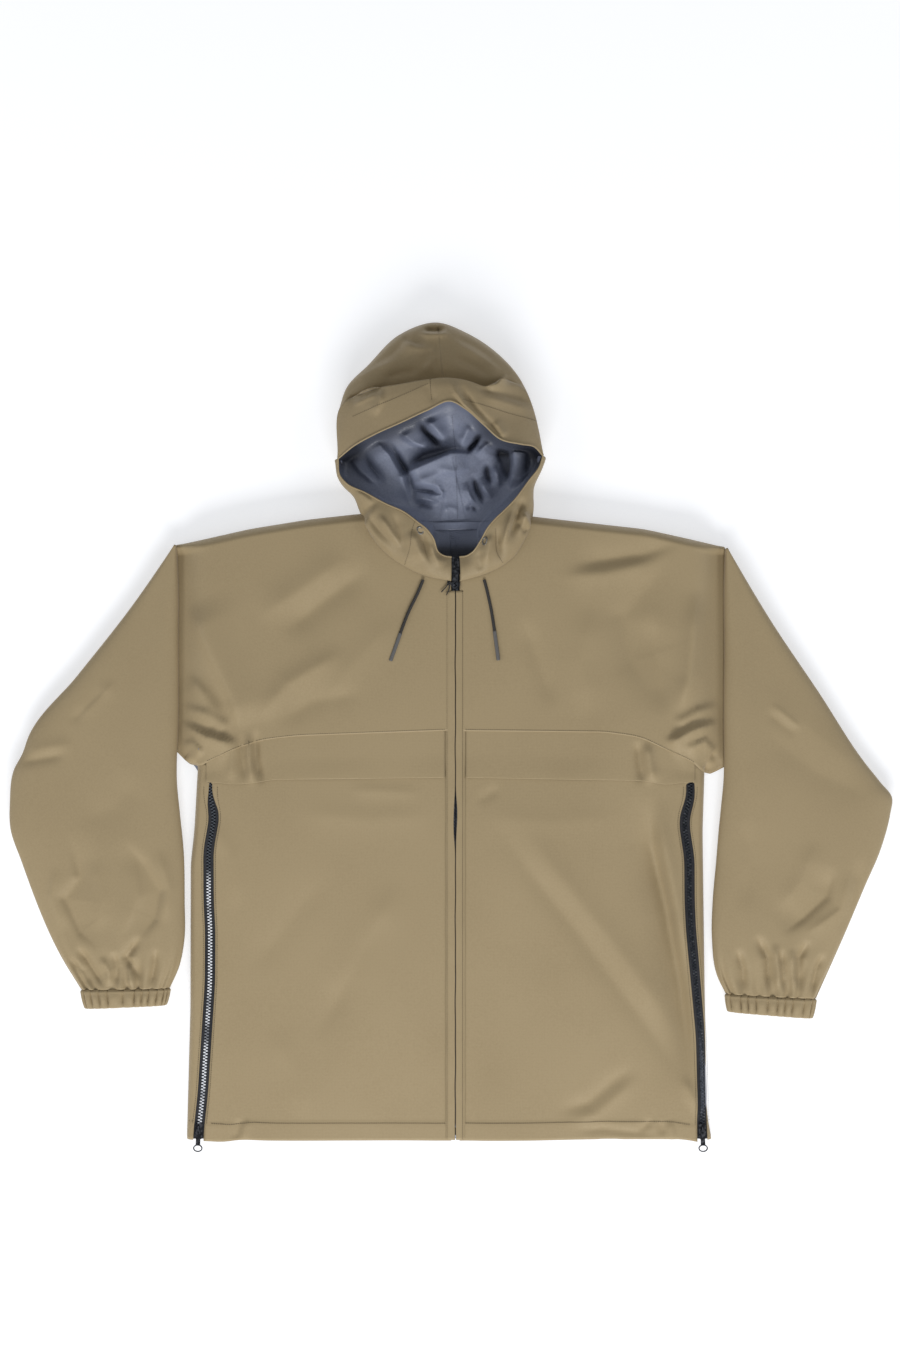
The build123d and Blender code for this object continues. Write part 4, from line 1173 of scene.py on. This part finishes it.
behind = between(0.035, 1.0)
behind[:, 2:] -= 0.008 + 0.032 * centre_share
sunk = between(0.2, 0.90)
sunk[:, 2:] -= 0.006 + 0.020 * centre_share
crown_lines = [
    ridge,
    behind,
    sunk,
    between(0.5, 0.62),
    between(0.82, 0.5),
    between(0.97, 0.26),
    foot,
    foot + inward * 0.006 + np.array([0, 0, -0.0065]),
]
hood_folds = (
    (((-41, 490.5), (-30, 487.5), (-12, 487), (1, 490.5)), 4.5, 7.5, 0.3),
    (((-36, 497), (-20, 495.5), (-4, 497)), 5, -15),
    (((-62.6, 491), (-50, 481), (-28, 475)), 6, -5, 0.5),
    (((-60, 482), (-45, 472), (-22, 467)), 8, 5, -0.5),
    (((-27, 478), (-21, 460), (-34, 440)), 6, 4, 0.5),
    (((-19, 482), (-18.5, 460), (-17, 440)), 2.2, -2.4),
    (((0, 488), (30, 474), (55, 458)), 8, -3.6, 0.6),
    (((6, 478), (40, 458), (66, 440)), 9, 4.6, -0.6),
    (((0, 462), (30, 448), (52, 436)), 6, -4, 0.4),
    (((40, 421), (56, 424), (64, 435), (69, 442)), 5, 7, -0.7),
    (((64, 428), (82, 432), (92, 425)), 4.5, -6, 0.3),
    (((30, 417), (65, 411), (102, 403)), 5, -4, 0.6),
    (((35, 408), (70, 402), (104, 394)), 6, 3, -0.4),
    (((-133, 410), (-105, 414), (-75, 424)), 5, -6, -0.5),
    (((-92, 385), (-83, 405), (-85, 420)), 6, 4, 0.6),
    (((-120, 400), (-100, 408), (-86, 414)), 5, 3, 0.4),
    (((-125, 430), (-90, 447), (-55, 458)), 11, 4.8, -0.6),
    (((-100, 450), (-70, 466), (-50, 488)), 9, -4, 0.5),
    (((-85, 434), (-60, 441), (-36, 444)), 6, -3.6),
    (((0, 430), (6, 412), (16, 398), (36, 380), (56, 360)), 5, 6.2, 0.5),
    (((12, 428), (18, 411), (30, 394), (50, 374), (66, 358)), 6, -6.4, -0.5),
    (((50, 378), (60, 366), (66, 357.5)), 4, 4.4, 0.6),
    (((-30, 425), (-24, 410), (-18, 398)), 5, -2),
)
brim = smooth_through(
    [edge, edge + (ridge - edge) * 0.33 + np.array([0, 0, 0.0012]),
     edge + (ridge - edge) * 0.72 + np.array([0, 0, 0.0020]), ridge], 30)
crown = smooth_through(crown_lines, 64)
for grid in (brim, crown):
    amount = eased((grid[:, :, 2] - 0.012) / 0.015)
    grid[:, :, 2] += amount * sum(
        fold(grid[:, :, 0], grid[:, :, 1], *given) for given in hood_folds)
crown[0] = brim[-1]
facing_out = lambda at: at - np.array([-0.01, 0.4, 0.02])
brim_piece = cloth_object("hood_brim_cloth", brim, facing_out, thick=0.0018,
                          finish=shaded_hood_khaki)
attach(brim_piece, "hood")
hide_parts("hood_brim")
split_at = 75
for name, grid in (("right", crown[:, :split_at + 1]), ("left", crown[:, split_at:])):
    piece = cloth_object(f"{name}_hood_cloth", grid, facing_out, thick=0.0013,
                         finish=shaded_hood_khaki)
    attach(piece, "hood")
    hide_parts(f"{name}_hood")

# The back of the hood lies flat on the floor and runs down inside the jacket.
back_runs = {
    "right": ((196, 90), (250, 92), (275, 107), (292, 110), (315, 130), (345, 135),
              (405, 132), (430, 123), (456, 98), (485, 69), (498, 46), (504, 26)),
    "left": ((196, 88), (250, 90), (275, 98), (300, 91), (330, 104), (345, 111),
             (390, 101), (420, 91), (444, 80), (484, 38), (498, 6), (504, -4)),
}
y = spread((0.196, 0.5035, 90))[:, None]
share = spread((-1, 1, 60))[None, :]
hood_middle = -0.008
edge_x = np.where(share > 0, soft_follow(back_runs["left"], y),
                  -soft_follow(back_runs["right"], y))
x = hood_middle + share * np.abs(edge_x - hood_middle)
z = 0.0024 - 0.0015 * eased((y - 0.258) / 0.014) + 0.004 * np.abs(share) ** 14
y = np.broadcast_to(y, x.shape)
hood_back = cloth_object("hood_back_cloth", np.stack([x, y, z], -1), (0, 0, -1),
                         thick=0.0008)
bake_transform(hood_back)

# The membrane inside: from the opening's edge down to the crumpled back.
lining_folds = (
    (((-70, 311), (-45, 324.5), (-27.7, 332), (0.6, 344), (30, 345.5)),
     20, 23, -0.8, 0.3),
    (((-58, 330), (-30, 344), (0.6, 352), (20, 351)), 4.9, -14.7, 0.0, 0.42),
    (((-60, 300), (-35, 312), (-10, 321), (20, 323)), 6, 3.5),
    (((-47, 392), (-28, 372), (-4.5, 348)), 3.8, -18.4, -0.4, 0.42),
    (((-40, 394), (-18, 374), (0, 356)), 8, 13, 0.2, 0.42),
    (((-66, 372), (-45, 358), (-22, 350)), 7, 10, 0.6),
    (((18, 344.5), (30, 358), (42, 375)), 3.5, -17.5, 0.4, 0.42),
    (((10, 350), (18, 366), (26, 384)), 7, 10, 0.0, 0.42),
    (((30, 343), (44, 355), (58, 366)), 6, 11, -0.5, 0.42),
    (((48, 356), (60, 350), (70, 338), (71.5, 310)), 6.3, -18.4, 0.0, 0.42),
    (((44, 338), (46, 322), (50, 304)), 3.8, -12.9, 0.0, 0.42),
    (((54, 334), (58, 317), (60, 302)), 5, 11, -0.5, 0.42),
    (((27, 322), (32, 302), (42, 282)), 3.1, -12, 0.3, 0.42),
    (((36, 318), (41, 302), (52, 288)), 5, 10, 0.5, 0.42),
    (((18, 312), (23, 295), (32, 278)), 6, 9, -0.5, 0.42),
    (((77.5, 362), (76.5, 335), (74.5, 300)), 11, 17, 0.75, 0.3),
    (((95, 350), (96, 335), (92, 318)), 2.8, -7.4, 0.0, 0.42),
    (((-50, 302), (-30, 298.5), (-8, 294.5)), 3.1, -10.1, 0.4, 0.42),
    (((-45, 309), (-22, 306), (-6, 302.5)), 6, 9.5, 0.5, 0.42),
    (((-18, 305), (-10, 297), (-12, 287)), 5, 7, -0.4),
    (((-46, 291), (-30, 288), (-12, 285)), 5, 9, 0.5, 0.42),
    (((-46, 281), (-34, 283), (-20, 278)), 3.1, -7.4, 0.0, 0.42),
    (((-100, 369), (-75.5, 343), (-60, 315), (-47, 274)), 16, 15, -0.78, 0.3),
    (((-80, 366), (-65.5, 343), (-51, 318), (-41, 286)), 3.8, -9.2, 0.0, 0.42),
    (((-112, 352), (-98, 330), (-78, 305)), 4.9, -10.1, 0.0, 0.42),
    (((-125, 342), (-112, 325), (-90, 306)), 5, 6, 0.5),
    (((18, 276), (26, 283), (34, 274)), 2.8, -5.5),
    (((-12, 276), (0, 279), (12, 275)), 4, 3),
    (((-20, 327), (4, 322), (26, 330)), 6, 4, 0.4),
)
low_right = smooth_through(metres(opening_low["right"]), 70)
low_left = smooth_through(metres(opening_low["left"]), 70)
rim = np.concatenate([
    low_right[:-1], edge[:-1], low_left[::-1],
    np.linspace(low_left[0], low_right[0], 12)[1:-1] - np.array([0, 0.0080, 0.0190]),
])
well = np.array([-0.006, 0.308, 0.0])
away = level_way(well, rim)
under_brim = eased((rim[:, 1:2] - 0.335) / 0.04)
floor_height = 0.0110 + 0.018 * eased((rim[:, 1:2] - 0.345) / 0.06)
tucked = 0.012 * eased((0.245 - rim[:, 1:2]) / 0.02)


def ring(out, height):
    line = rim + away * out
    line[:, 2:] = height
    return line


tall = rim[:, 2:]
rings = [
    ring(-0.0010, tall - 0.0006),
    ring(-0.0012 + 0.004 * under_brim + 0.4 * tucked, tall - 0.006),
    ring(-0.0022 + 0.009 * under_brim + tucked, tall * 0.72),
    ring(-0.0040 + 0.006 * under_brim + 1.2 * tucked, tall * 0.42 + 0.3 * floor_height),
    ring(-0.0100 - 0.002 * under_brim + 1.6 * tucked, 0.0040 + floor_height),
]
for share in (0.74, 0.5, 0.25, 0.06, 0.003):
    line = well + (rim - well) * share
    line[:, 2:] = 0.0110 + (floor_height - 0.0110) * share**1.5
    rings.append(line)
membrane_grid = smooth_through(rings, 96)
x, y = membrane_grid[:, :, 0], membrane_grid[:, :, 1]
reach = np.linalg.norm(membrane_grid[:, :, :2] - well[:2], axis=2)
limit = np.linalg.norm(rim[:, :2] - well[:2], axis=1)[None, :]
loose = eased((limit - reach - 0.002) / 0.012) * eased((0.085 - np.maximum(
    membrane_grid[:, :, 2] - 0.02, 0)) / 0.03)
wrinkles = sum(fold(x, y, *given) for given in lining_folds)
wrinkles += 0.0010 * np.sin(95 * x + 40 * y) * np.sin(70 * y - 30 * x + 1)
wrinkles *= 0.15 + 0.85 * eased((y - 0.262) / 0.010)
membrane_grid[:, :, 2] = np.maximum(
    membrane_grid[:, :, 2] + loose * wrinkles, 0.0036)
# Painted shade: a darker lining, darkest in deep creases, under the brim and at the
# closure
shaded_hood_lining = painted_shade_copy("hood_lining_cloth", membrane_grey, 0.92)
tree = shaded_hood_lining.node_tree
mask = add_node(tree, "ShaderNodeAttribute", attribute_name="Hollow")
unshaded = cloth_part(shaded_hood_lining).outputs["Colour"]
shaded = colour_mix(tree, mask.outputs["Fac"], unshaded, (0.016, 0.018, 0.026))
link(tree, shaded, tree.nodes["Principled BSDF"].inputs["Base Color"])
# Where the painted shade falls: creases, the rim under the brim, the closure and the
# corners
creases = eased(-loose * wrinkles / 0.010)
near_rim = eased(1 - (limit - reach) / 0.030) * eased((y - 0.315) / 0.03)
near_rim = near_rim * (0.30 + 0.50 * eased((np.abs(x) - 0.015) / 0.03))
closure = eased((0.240 - y) / 0.016)
corners = eased((np.abs(x + 0.012) - 0.075) / 0.035) * eased((0.362 - y) / 0.02)
painted_shade_mask = np.clip(0.62 * creases + near_rim + 0.95 * closure + 0.35 * corners, 0, 0.97)
membrane = cloth_object("hood_membrane", membrane_grid,
                        lambda at: np.array([0, 0.31, 0.12]) - at, lined=False,
                        thick=0.0006, closed=True, finish=shaded_hood_lining)
shade = membrane.data.attributes.new("Hollow", "FLOAT", "POINT")
shade.data.foreach_set("value", painted_shade_mask.astype(np.float32).reshape(-1))
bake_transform(membrane)


def ovals_round(line, sideways, upward, half_width, half_height):
    """Ten places in an oval round each point of a line."""
    turn = (2 * np.pi * np.arange(10) / 10)[None, :, None]
    return (line[:, None] + sideways[:, None] * (half_width * np.cos(turn))
            + upward[:, None] * (half_height * np.sin(turn)))


# A narrow binding is turned over the whole edge of the opening.
loop = np.concatenate([low_right[:-1], edge[:-1], low_left[::-1]])
forward = unit(np.gradient(loop, axis=0))
sideways = unit(np.cross(forward, [0, 0, 1.0]))
upward = np.cross(sideways, forward)
binding_grid = ovals_round(loop, sideways, upward, 0.0010, 0.0013)
centre_line = np.repeat((loop[1:] + loop[:-1]) / 2, 10, axis=0)
binding = cloth_object("opening_binding_cloth", binding_grid,
                       lambda at: at - centre_line, lined=False,
                       thick=0.0, closed=True)
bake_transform(binding)

# The back neck seam is covered by a strip of tape, zig-zag stitched.
y = spread((0.2515, 0.2615, 6))[:, None]
x = spread((-0.047, 0.056, 50))[None, :]
tape_grid = np.stack(np.broadcast_arrays(
    x, y + 0.0006 * np.sin(60 * x), 0.0128 + 0.0006 * np.sin(70 * x + 1)), -1)
neck_strip = cloth_object("neck_tape_strip", tape_grid, (0, 0, 1), lined=False,
                          thick=0.0006, finish=membrane_grey)
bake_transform(neck_strip)
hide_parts("neck_tape")


def put_outward(piece):
    """Turns every face of a closed piece outward, and smooths it."""
    shape = bmesh.new()
    shape.from_mesh(piece.data)
    bmesh.ops.recalc_face_normals(shape, faces=shape.faces[:])
    shape.to_mesh(piece.data)
    shape.free()
    piece.data.polygons.foreach_set("use_smooth", [True] * len(piece.data.polygons))


# Eyelets: oval metal rings round the drawcord's way out of the collar
eyelet_grey = worn_metal("eyelet_grey", (0.16, 0.15, 0.13), (0.3, 0.29, 0.27), 0.42)
for name, side in SIDES.items():
    grid = collar_tops[name]
    at = np.array([side * 0.029, 0.262 if side < 0 else 0.246, 0])
    gap = np.linalg.norm((grid - at)[:, :, :2], axis=2)
    row, column = np.unravel_index(np.argmin(gap), gap.shape)
    row, column = min(row, 30), min(column, 86)
    at = grid[row, column]
    way = unit(grid[row + 2, column] - grid[row - 2, column])
    along = unit(grid[row, column + 2] - grid[row, column - 2])
    off = np.cross(way, along)
    off *= np.sign(off[2]) or 1
    turn = 2 * np.pi * np.arange(28) / 28
    centre = (at + np.outer(np.cos(turn), along) * 0.0042
              + np.outer(np.sin(turn), way) * 0.0036)
    ring_points = ovals_round(centre, unit(centre - at),
                              np.broadcast_to(off, centre.shape), 0.0012, 0.0007)
    faces = [(i * 10 + j, i * 10 + (j + 1) % 10,
              ((i + 1) % 28) * 10 + (j + 1) % 10, ((i + 1) % 28) * 10 + j)
             for i in range(28) for j in range(10)]
    ring_piece = plain_object(f"{name}_eyelet_ring", ring_points.reshape(-1, 3), faces)
    ring_piece.data.materials.append(eyelet_grey)
    put_outward(ring_piece)
    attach(ring_piece, "hood")
    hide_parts(f"{name}_hood_eyelet")

# ---- Sleeves -----------------------------------------------------------------------
# Each sleeve is one tube of shell cloth, pressed flat along its two folds and turned
# down beside the body. It narrows to a gathered cuff.

sleeve_folds = (
    (((-459, 17), (-436, 40), (-410, 67)), 8, 2.2),
    (((-469, 12), (-446, 34), (-420, 60)), 7, -1.9),
    (((-534.5, -36), (-505, -30), (-470, -24)), 6, -3),
    (((-525, -22), (-495, -16), (-460, -12)), 8, 1.9),
    (((-468, -119), (-455, -177), (-474, -202), (-455, -243), (-426, -268)),
     14, -4.6, 0.6),
    (((-406, -127), (-377, -160), (-358, -193), (-364, -226.5), (-389, -260)),
     14, -4.6, -0.6),
    (((-440, -150), (-428, -200), (-433, -245)), 13, 2.5),
    (((-485, -160), (-490, -200), (-475, -245)), 10, 2.5, 0.5),
    (((-390, -145), (-383, -200), (-405, -250)), 10, 2.2, -0.5),
    (((-360, -140), (-345, -190), (-352, -235)), 8, 3),
    (((-380, -50), (-410, -90), (-460, -110)), 22, -1.9),
    (((-459, -260), (-440, -290), (-426, -312)), 5, -7.3),
    (((-380, -247), (-398, -274), (-380, -305)), 5, -7.1),
    (((-470, -275), (-452, -292), (-443, -312)), 4, -4.7),
    (((-415, -265), (-410, -288), (-412, -312)), 4.5, -5.6),
    (((-362, -262), (-364, -285), (-370, -312)), 4, -4.7),
    (((-395, -280), (-394, -312)), 4, 4.2),
    (((-430, -272), (-420, -292), (-420, -312)), 4.5, 4.7),
    (((392, 38), (412, 22), (433, 5)), 4.5, 2),
    (((386, 30), (405, 14), (426, -3)), 6, -1.5),
    (((375, 10), (450, -48), (530, -83)), 20, -2),
    (((380, 60), (450, 0), (510, -50)), 20, 1.7),
    (((470.6, -160), (462, -200), (434, -226), (404.5, -247)), 14, -5.3, -0.6),
    (((490, -165), (480, -215), (430, -250)), 9.5, 3.1, 0.4),
    (((450, -130), (430, -180), (400, -220)), 12, 2.8),
    (((505, -150), (497, -200), (480, -250)), 8, -3.3),
    (((360, -100), (370, -160), (360, -220)), 12, -2),
    (((375, -245), (390, -275), (392, -318)), 5, -7.3),
    (((442, -251), (430, -275), (428, -318)), 5, -7.1),
    (((352, -262), (360, -290), (362, -318)), 4.5, -5.4),
    (((405, -262), (410, -290), (410, -318)), 4.5, -5.9),
    (((460, -268), (450, -290), (445, -322)), 4.5, -5.4),
    (((398, -255), (402, -285), (402, -318)), 4.5, 5.2),
    (((420, -262), (420, -290), (420, -318)), 4, 4.7),
)
# Each sleeve's two folds, the one beside the body first, from the shoulder down (mm)
sleeve_lines = {
    "right": (
        [(337.5, 232.5), (336, 200), (335.5, 100), (336, 0), (337.5, -30), (337.5, -57),
         (333.5, -100), (329.2, -144), (328, -206), (328.5, -255), (334.5, -286),
         (346.2, -313)],
        [(340, 233.5), (397, 152.5), (460, 72.5), (520.5, -3), (528, -24), (538.5, -44),
         (543.5, -85), (543, -115), (529, -157.5), (478.5, -278), (456, -315)],
    ),
    "left": (
        [(338.5, 228.5), (337.5, 200), (337.5, 100), (337, 0), (337.5, -30),
         (336.8, -57), (333.8, -89), (330.5, -122.8), (327.8, -156), (323.5, -206),
         (322.5, -250), (329, -298), (339.5, -320)],
        [(341.2, 229.5), (397, 137), (455, 50.5), (510.5, -34.5), (530, -59),
         (544.8, -79), (542.5, -98), (531, -141), (511, -188), (490, -238),
         (451, -326)],
    ),
}
cuff_ends = {"right": ((351.2, -334.5), (450.5, -338.8)),
             "left": ((342.5, -342.5), (446, -350.8))}
cuff_depth, cuff_middle, cuff_half_height = 0.024, 0.0106, 0.0088
sleeve_height, sleeve_foot = 0.0215, 0.0012


def pressed_round(half, square):
    """Places round a pressed tube, over the top and back below: how far out and how
    far up each is, from -1 to 1, with more of them near the two folds."""
    across = np.sin(0.5 * np.pi * np.linspace(-1, 1, half, endpoint=False))
    rise = (1 - np.abs(across) ** square) ** (1 / 2.3)
    return np.concatenate([-across, across]), np.concatenate([rise, -rise])


def flat_loop(inner, outer, height, low):
    """Closed loops between two folds, flat below and a soft pillow above."""
    out, up = pressed_round(110, 5.0)
    middle = low + 0.44 * height
    top, bottom = low + height - middle, middle - low
    centre, reach = (inner + outer)[:, None] / 2, (outer - inner)[:, None] / 2
    xy = centre + reach * out[None, :, None]
    z = middle + np.where(up > 0, up * top, up * bottom)
    return np.concatenate([xy, z[..., None]], -1), np.clip(up, 0, 1)[None, :]


def away_from(x, z):
    """Faces a tube outward, round an axis that runs along Y."""
    return lambda at: (at - np.array([x, 0, z])) * np.array([1, 0, 1])


def gathers(share, count, seed):
    """Uneven ruffles round a cuff: their phase wanders but stays the same."""
    phase = count * 2 * np.pi * share
    phase = phase + 0.9 * np.sin(2 * np.pi * share * 3 + seed)
    phase = phase + 0.6 * np.sin(2 * np.pi * share * 7 + 2.3 * seed)
    return np.sin(phase)


for name, side in SIDES.items():
    inner_run, outer_run = (metres(run) for run in sleeve_lines[name])
    rows = np.concatenate([np.linspace(0, 0.8, 150, endpoint=False),
                           np.linspace(0.8, 1, 64)])
    inner = smooth_through(inner_run, rows)
    outer = smooth_through(outer_run, rows)
    inner[:, 0] *= side
    outer[:, 0] *= side
    down_share = rows[:, None]
    height = sleeve_height + 0.0035 * np.sin(np.pi * down_share) - 0.003 * eased(
        (down_share - 0.9) / 0.1)
    grid, upper = flat_loop(inner, outer, height, sleeve_foot)
    x, y = grid[:, :, 0], grid[:, :, 1]
    creases = sum(fold(x, y, *given) for given in sleeve_folds)
    creases += 0.0013 * np.sin(24 * x + 9 * y) * np.sin(15 * y + side)
    settle = np.minimum(1, 6 * down_share)
    close = eased((down_share - 0.84) / 0.16)
    loop_share = (np.arange(220) / 220)[None, :]
    ruffle = gathers(loop_share, 19, 1.3 + side)
    ruffle *= 0.75 + 0.35 * np.sin(2 * np.pi * loop_share * 5 + side)
    grid[:, :, 2] += settle * upper * creases
    grid[:, :, 2] += 0.0026 * close**1.5 * ruffle * (0.2 + 0.8 * upper)
    grid[:, :, 2] = np.maximum(grid[:, :, 2], 0.0010)
    sleeve = cloth_object(f"{name}_sleeve_cloth", grid, away_from(side * 0.43, 0.011),
                          lined=False, closed=True)
    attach(sleeve, f"{name}_sleeve")
    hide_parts(f"{name}_sleeve_top", f"{name}_sleeve_under")
    # Cuff: a doubled band drawn in on elastic, open at the wrist
    end_inner, end_outer = metres(cuff_ends[name])
    start_inner, start_outer = inner_run[-1], outer_run[-1]
    profile = ((0.0, -0.0020), (0.03, -0.0008), (0.1, 0.0008), (0.3, 0.0010),
               (0.6, 0.0010), (0.88, 0.0009), (0.97, 0.0003),
               (1.0, -0.0008), (0.985, -0.0018), (0.9, -0.0022), (0.55, -0.0024))
    profile = smooth_through([(a * cuff_depth, b) for a, b in profile], 44)
    fine = np.arange(560) / 560
    round_out, round_up = pressed_round(280, 4.0)
    ripple = np.abs(gathers(fine, 13, 0.6 + side)) ** 0.45 - 0.6
    rows_made = []
    for along, proud in profile:
        part = along / cuff_depth
        a = start_inner + (end_inner - start_inner) * part
        b = start_outer + (end_outer - start_outer) * part
        half_width = np.linalg.norm(b - a) / 2 + proud
        centre = (a + b) / 2
        across_way = unit(b - a)
        strength = 0.0064 * np.sin(np.pi * np.clip(part, 0.2, 0.8))
        grow = strength * ripple
        out = round_out * (half_width + 0.4 * grow)
        rise = round_up * (cuff_half_height + proud + grow)
        xy = centre + across_way * out[:, None]
        z = np.maximum(cuff_middle + rise, 0.0006)
        rows_made.append(np.stack([side * xy[:, 0], xy[:, 1], z], 1))
    band = np.array(rows_made)
    cuff = cloth_object(f"{name}_cuff_cloth", band, away_from(side * 0.4, cuff_middle),
                        lined=False, thick=0.0, closed=True)
    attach(cuff, f"{name}_sleeve")
    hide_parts(f"{name}_cuff", f"{name}_cuff_elastic")
    # The armhole's cloth turns under the sleeve's fold and into the sleeve
    y = spread((-0.012, 0.205, 60))
    turn = ((0.322, -0.0022), (0.331, -0.0024), (0.337, -0.002), (0.343, 0.001),
            (0.350, 0.004))
    strip = smooth_through([on_front(side * np.full(len(y), out), y, drop)
                            for out, drop in turn], 14)
    room = np.interp(-y, -outer_run[:, 1], outer_run[:, 0]) - 0.006
    strip[:, :, 0] = side * np.minimum(np.abs(strip[:, :, 0]), room)
    strip[:, :, 2] = np.clip(strip[:, :, 2], 0.0035, 0.0150)
    band = cloth_object(f"{name}_armhole_cloth", strip, (0, 0, 1), lined=False,
                        thick=0.0008)
    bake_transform(band)

# ---- Stitching -------------------------------------------------------------------
# Short stitches of dark thread along the seams and turned edges, each lying just on
# the cloth. They are set along lines that follow the pieces' own surfaces.

thread_brown = moulded_material("thread_brown", (0.07, 0.052, 0.028), 0.75, 0.00001)
thread_grey = moulded_material("thread_grey", (0.03, 0.034, 0.048), 0.75, 0.00001)


def stitch_shape():
    """One stitch, a low bead drawn in at its ends, along Y."""
    rows = ((-0.5, 0.3), (-0.3, 1.0), (0.3, 1.0), (0.5, 0.3))
    ring = ((-0.5, -0.3), (0.0, 0.5), (0.5, -0.3))
    wide, length, high = 0.0009, 0.0019, 0.0005
    points = [(x * size * wide, along * length, z * size * high)
              for along, size in rows for x, z in ring]
    faces = [(3 * i + j, 3 * i + (j + 1) % 3, 3 * i + 3 + (j + 1) % 3, 3 * i + 3 + j)
             for i in range(3) for j in range(3)]
    faces += [(2, 1, 0), (9, 10, 11)]
    shape = plain_object("stitch", points, faces)
    put_outward(shape)
    return shape


def on_piece(line, *grids, over=0.0001):
    """Lifts a line of places, in millimetres, onto pieces already made."""
    cloud = np.concatenate([grid.reshape(-1, 3) for grid in grids])
    line = smooth_through([(*place, 0.0) for place in metres(line)], 80)
    for place in line:
        gap = np.hypot(cloud[:, 0] - place[0], cloud[:, 1] - place[1])
        nearest = np.argsort(gap)[:4]
        weight = 1 / (gap[nearest] + 0.0002)
        place[2] = (cloud[nearest, 2] * weight).sum() / weight.sum() + over
    return line


stitch = stitch_shape()
near_hem, past_placket, zip_side, stitch_pitch = 0.0215, 0.0135, 0.298, 0.0027
stitched = {"body": ([], thread_brown, "root", "shell_cloth"),
            "brim": ([], thread_brown, "hood", "shell_cloth"),
            "membrane": ([], thread_grey, "hood", "lining")}
for name, side in SIDES.items():
    body_lines = stitched["body"][0]
    start = side * closure_x
    # Hem, from the placket to the zip and round to the side fold
    x = spread((start + past_placket, zip_side - 0.004, 90))
    body_lines.append(on_front(side * x, hem_y(side * x) + near_hem, 0.0008))
    x = spread((0.3185, 0.3225, 12)) if side < 0 else spread((0.316, 0.3205, 12))
    body_lines.append(on_front(side * x, np.full(len(x), -0.4775), 0.0006))
    # Chest seam, a little above the yoke's edge
    x = spread((start + past_placket, zip_side, 110))
    body_lines.append(on_front(side * x, seam_y(name, x) + 0.0019, 0.0018))
    # Placket, through both layers
    y = spread((-0.499, placket_top - 0.001, 140))
    away = 0.0103 if side < 0 else 0.0089
    body_lines.append(np.stack([
        np.full(len(y), closure_x + side * away), y,
        front_plane(y) + (0.00155 if side < 0 else 0.0021)], -1))
    # Beside the side zip
    y = spread((-0.4985, -0.0655, 100))
    body_lines.append(on_front(side * (zip_line(name, y) - 0.0086), y, 0.0002))
    body_lines.append(on_front(side * (zip_line(name, y) + 0.0082), y, -0.0001))
collar_seams = {
    "right": [(-42.5, 262.5), (-46.5, 250), (-50, 225.7), (-56, 208)],
    "left": [(54.5, 250), (55.2, 240), (57, 221), (63.5, 210.5)],
}
for name, line in collar_seams.items():
    stitched["body"][0].append(on_piece(line, collar_tops[name]))
for line in (
    [(-118, 387), (-93, 396.5), (-69.4, 405.5), (-27.9, 422.8)],
    [(15.5, 404), (41.5, 397), (76, 388), (104, 383)],
    [(-24.5, 428), (-23.8, 416), (-23, 404.5)],
):
    stitched["brim"][0].append(on_piece(line, brim))
inside = membrane_grid[24:]
for line in (
    [(2, 390), (4, 370), (6, 352)],
    [(6.6, 340), (7.5, 310), (8.8, 267)],
    [(-36, 262.5), (0, 262.2), (48, 262.5)],
):
    stitched["membrane"][0].append(on_piece(line, inside, over=0.0003))
for label, (lines, finish, body, slot_name) in stitched.items():
    rows_of = set_on_lines(f"{label}_stitches", lines, {
        "Shape": stitch, "Pitch": stitch_pitch, "Finish": finish})
    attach(rows_of, body)
bpy.data.objects.remove(stitch)
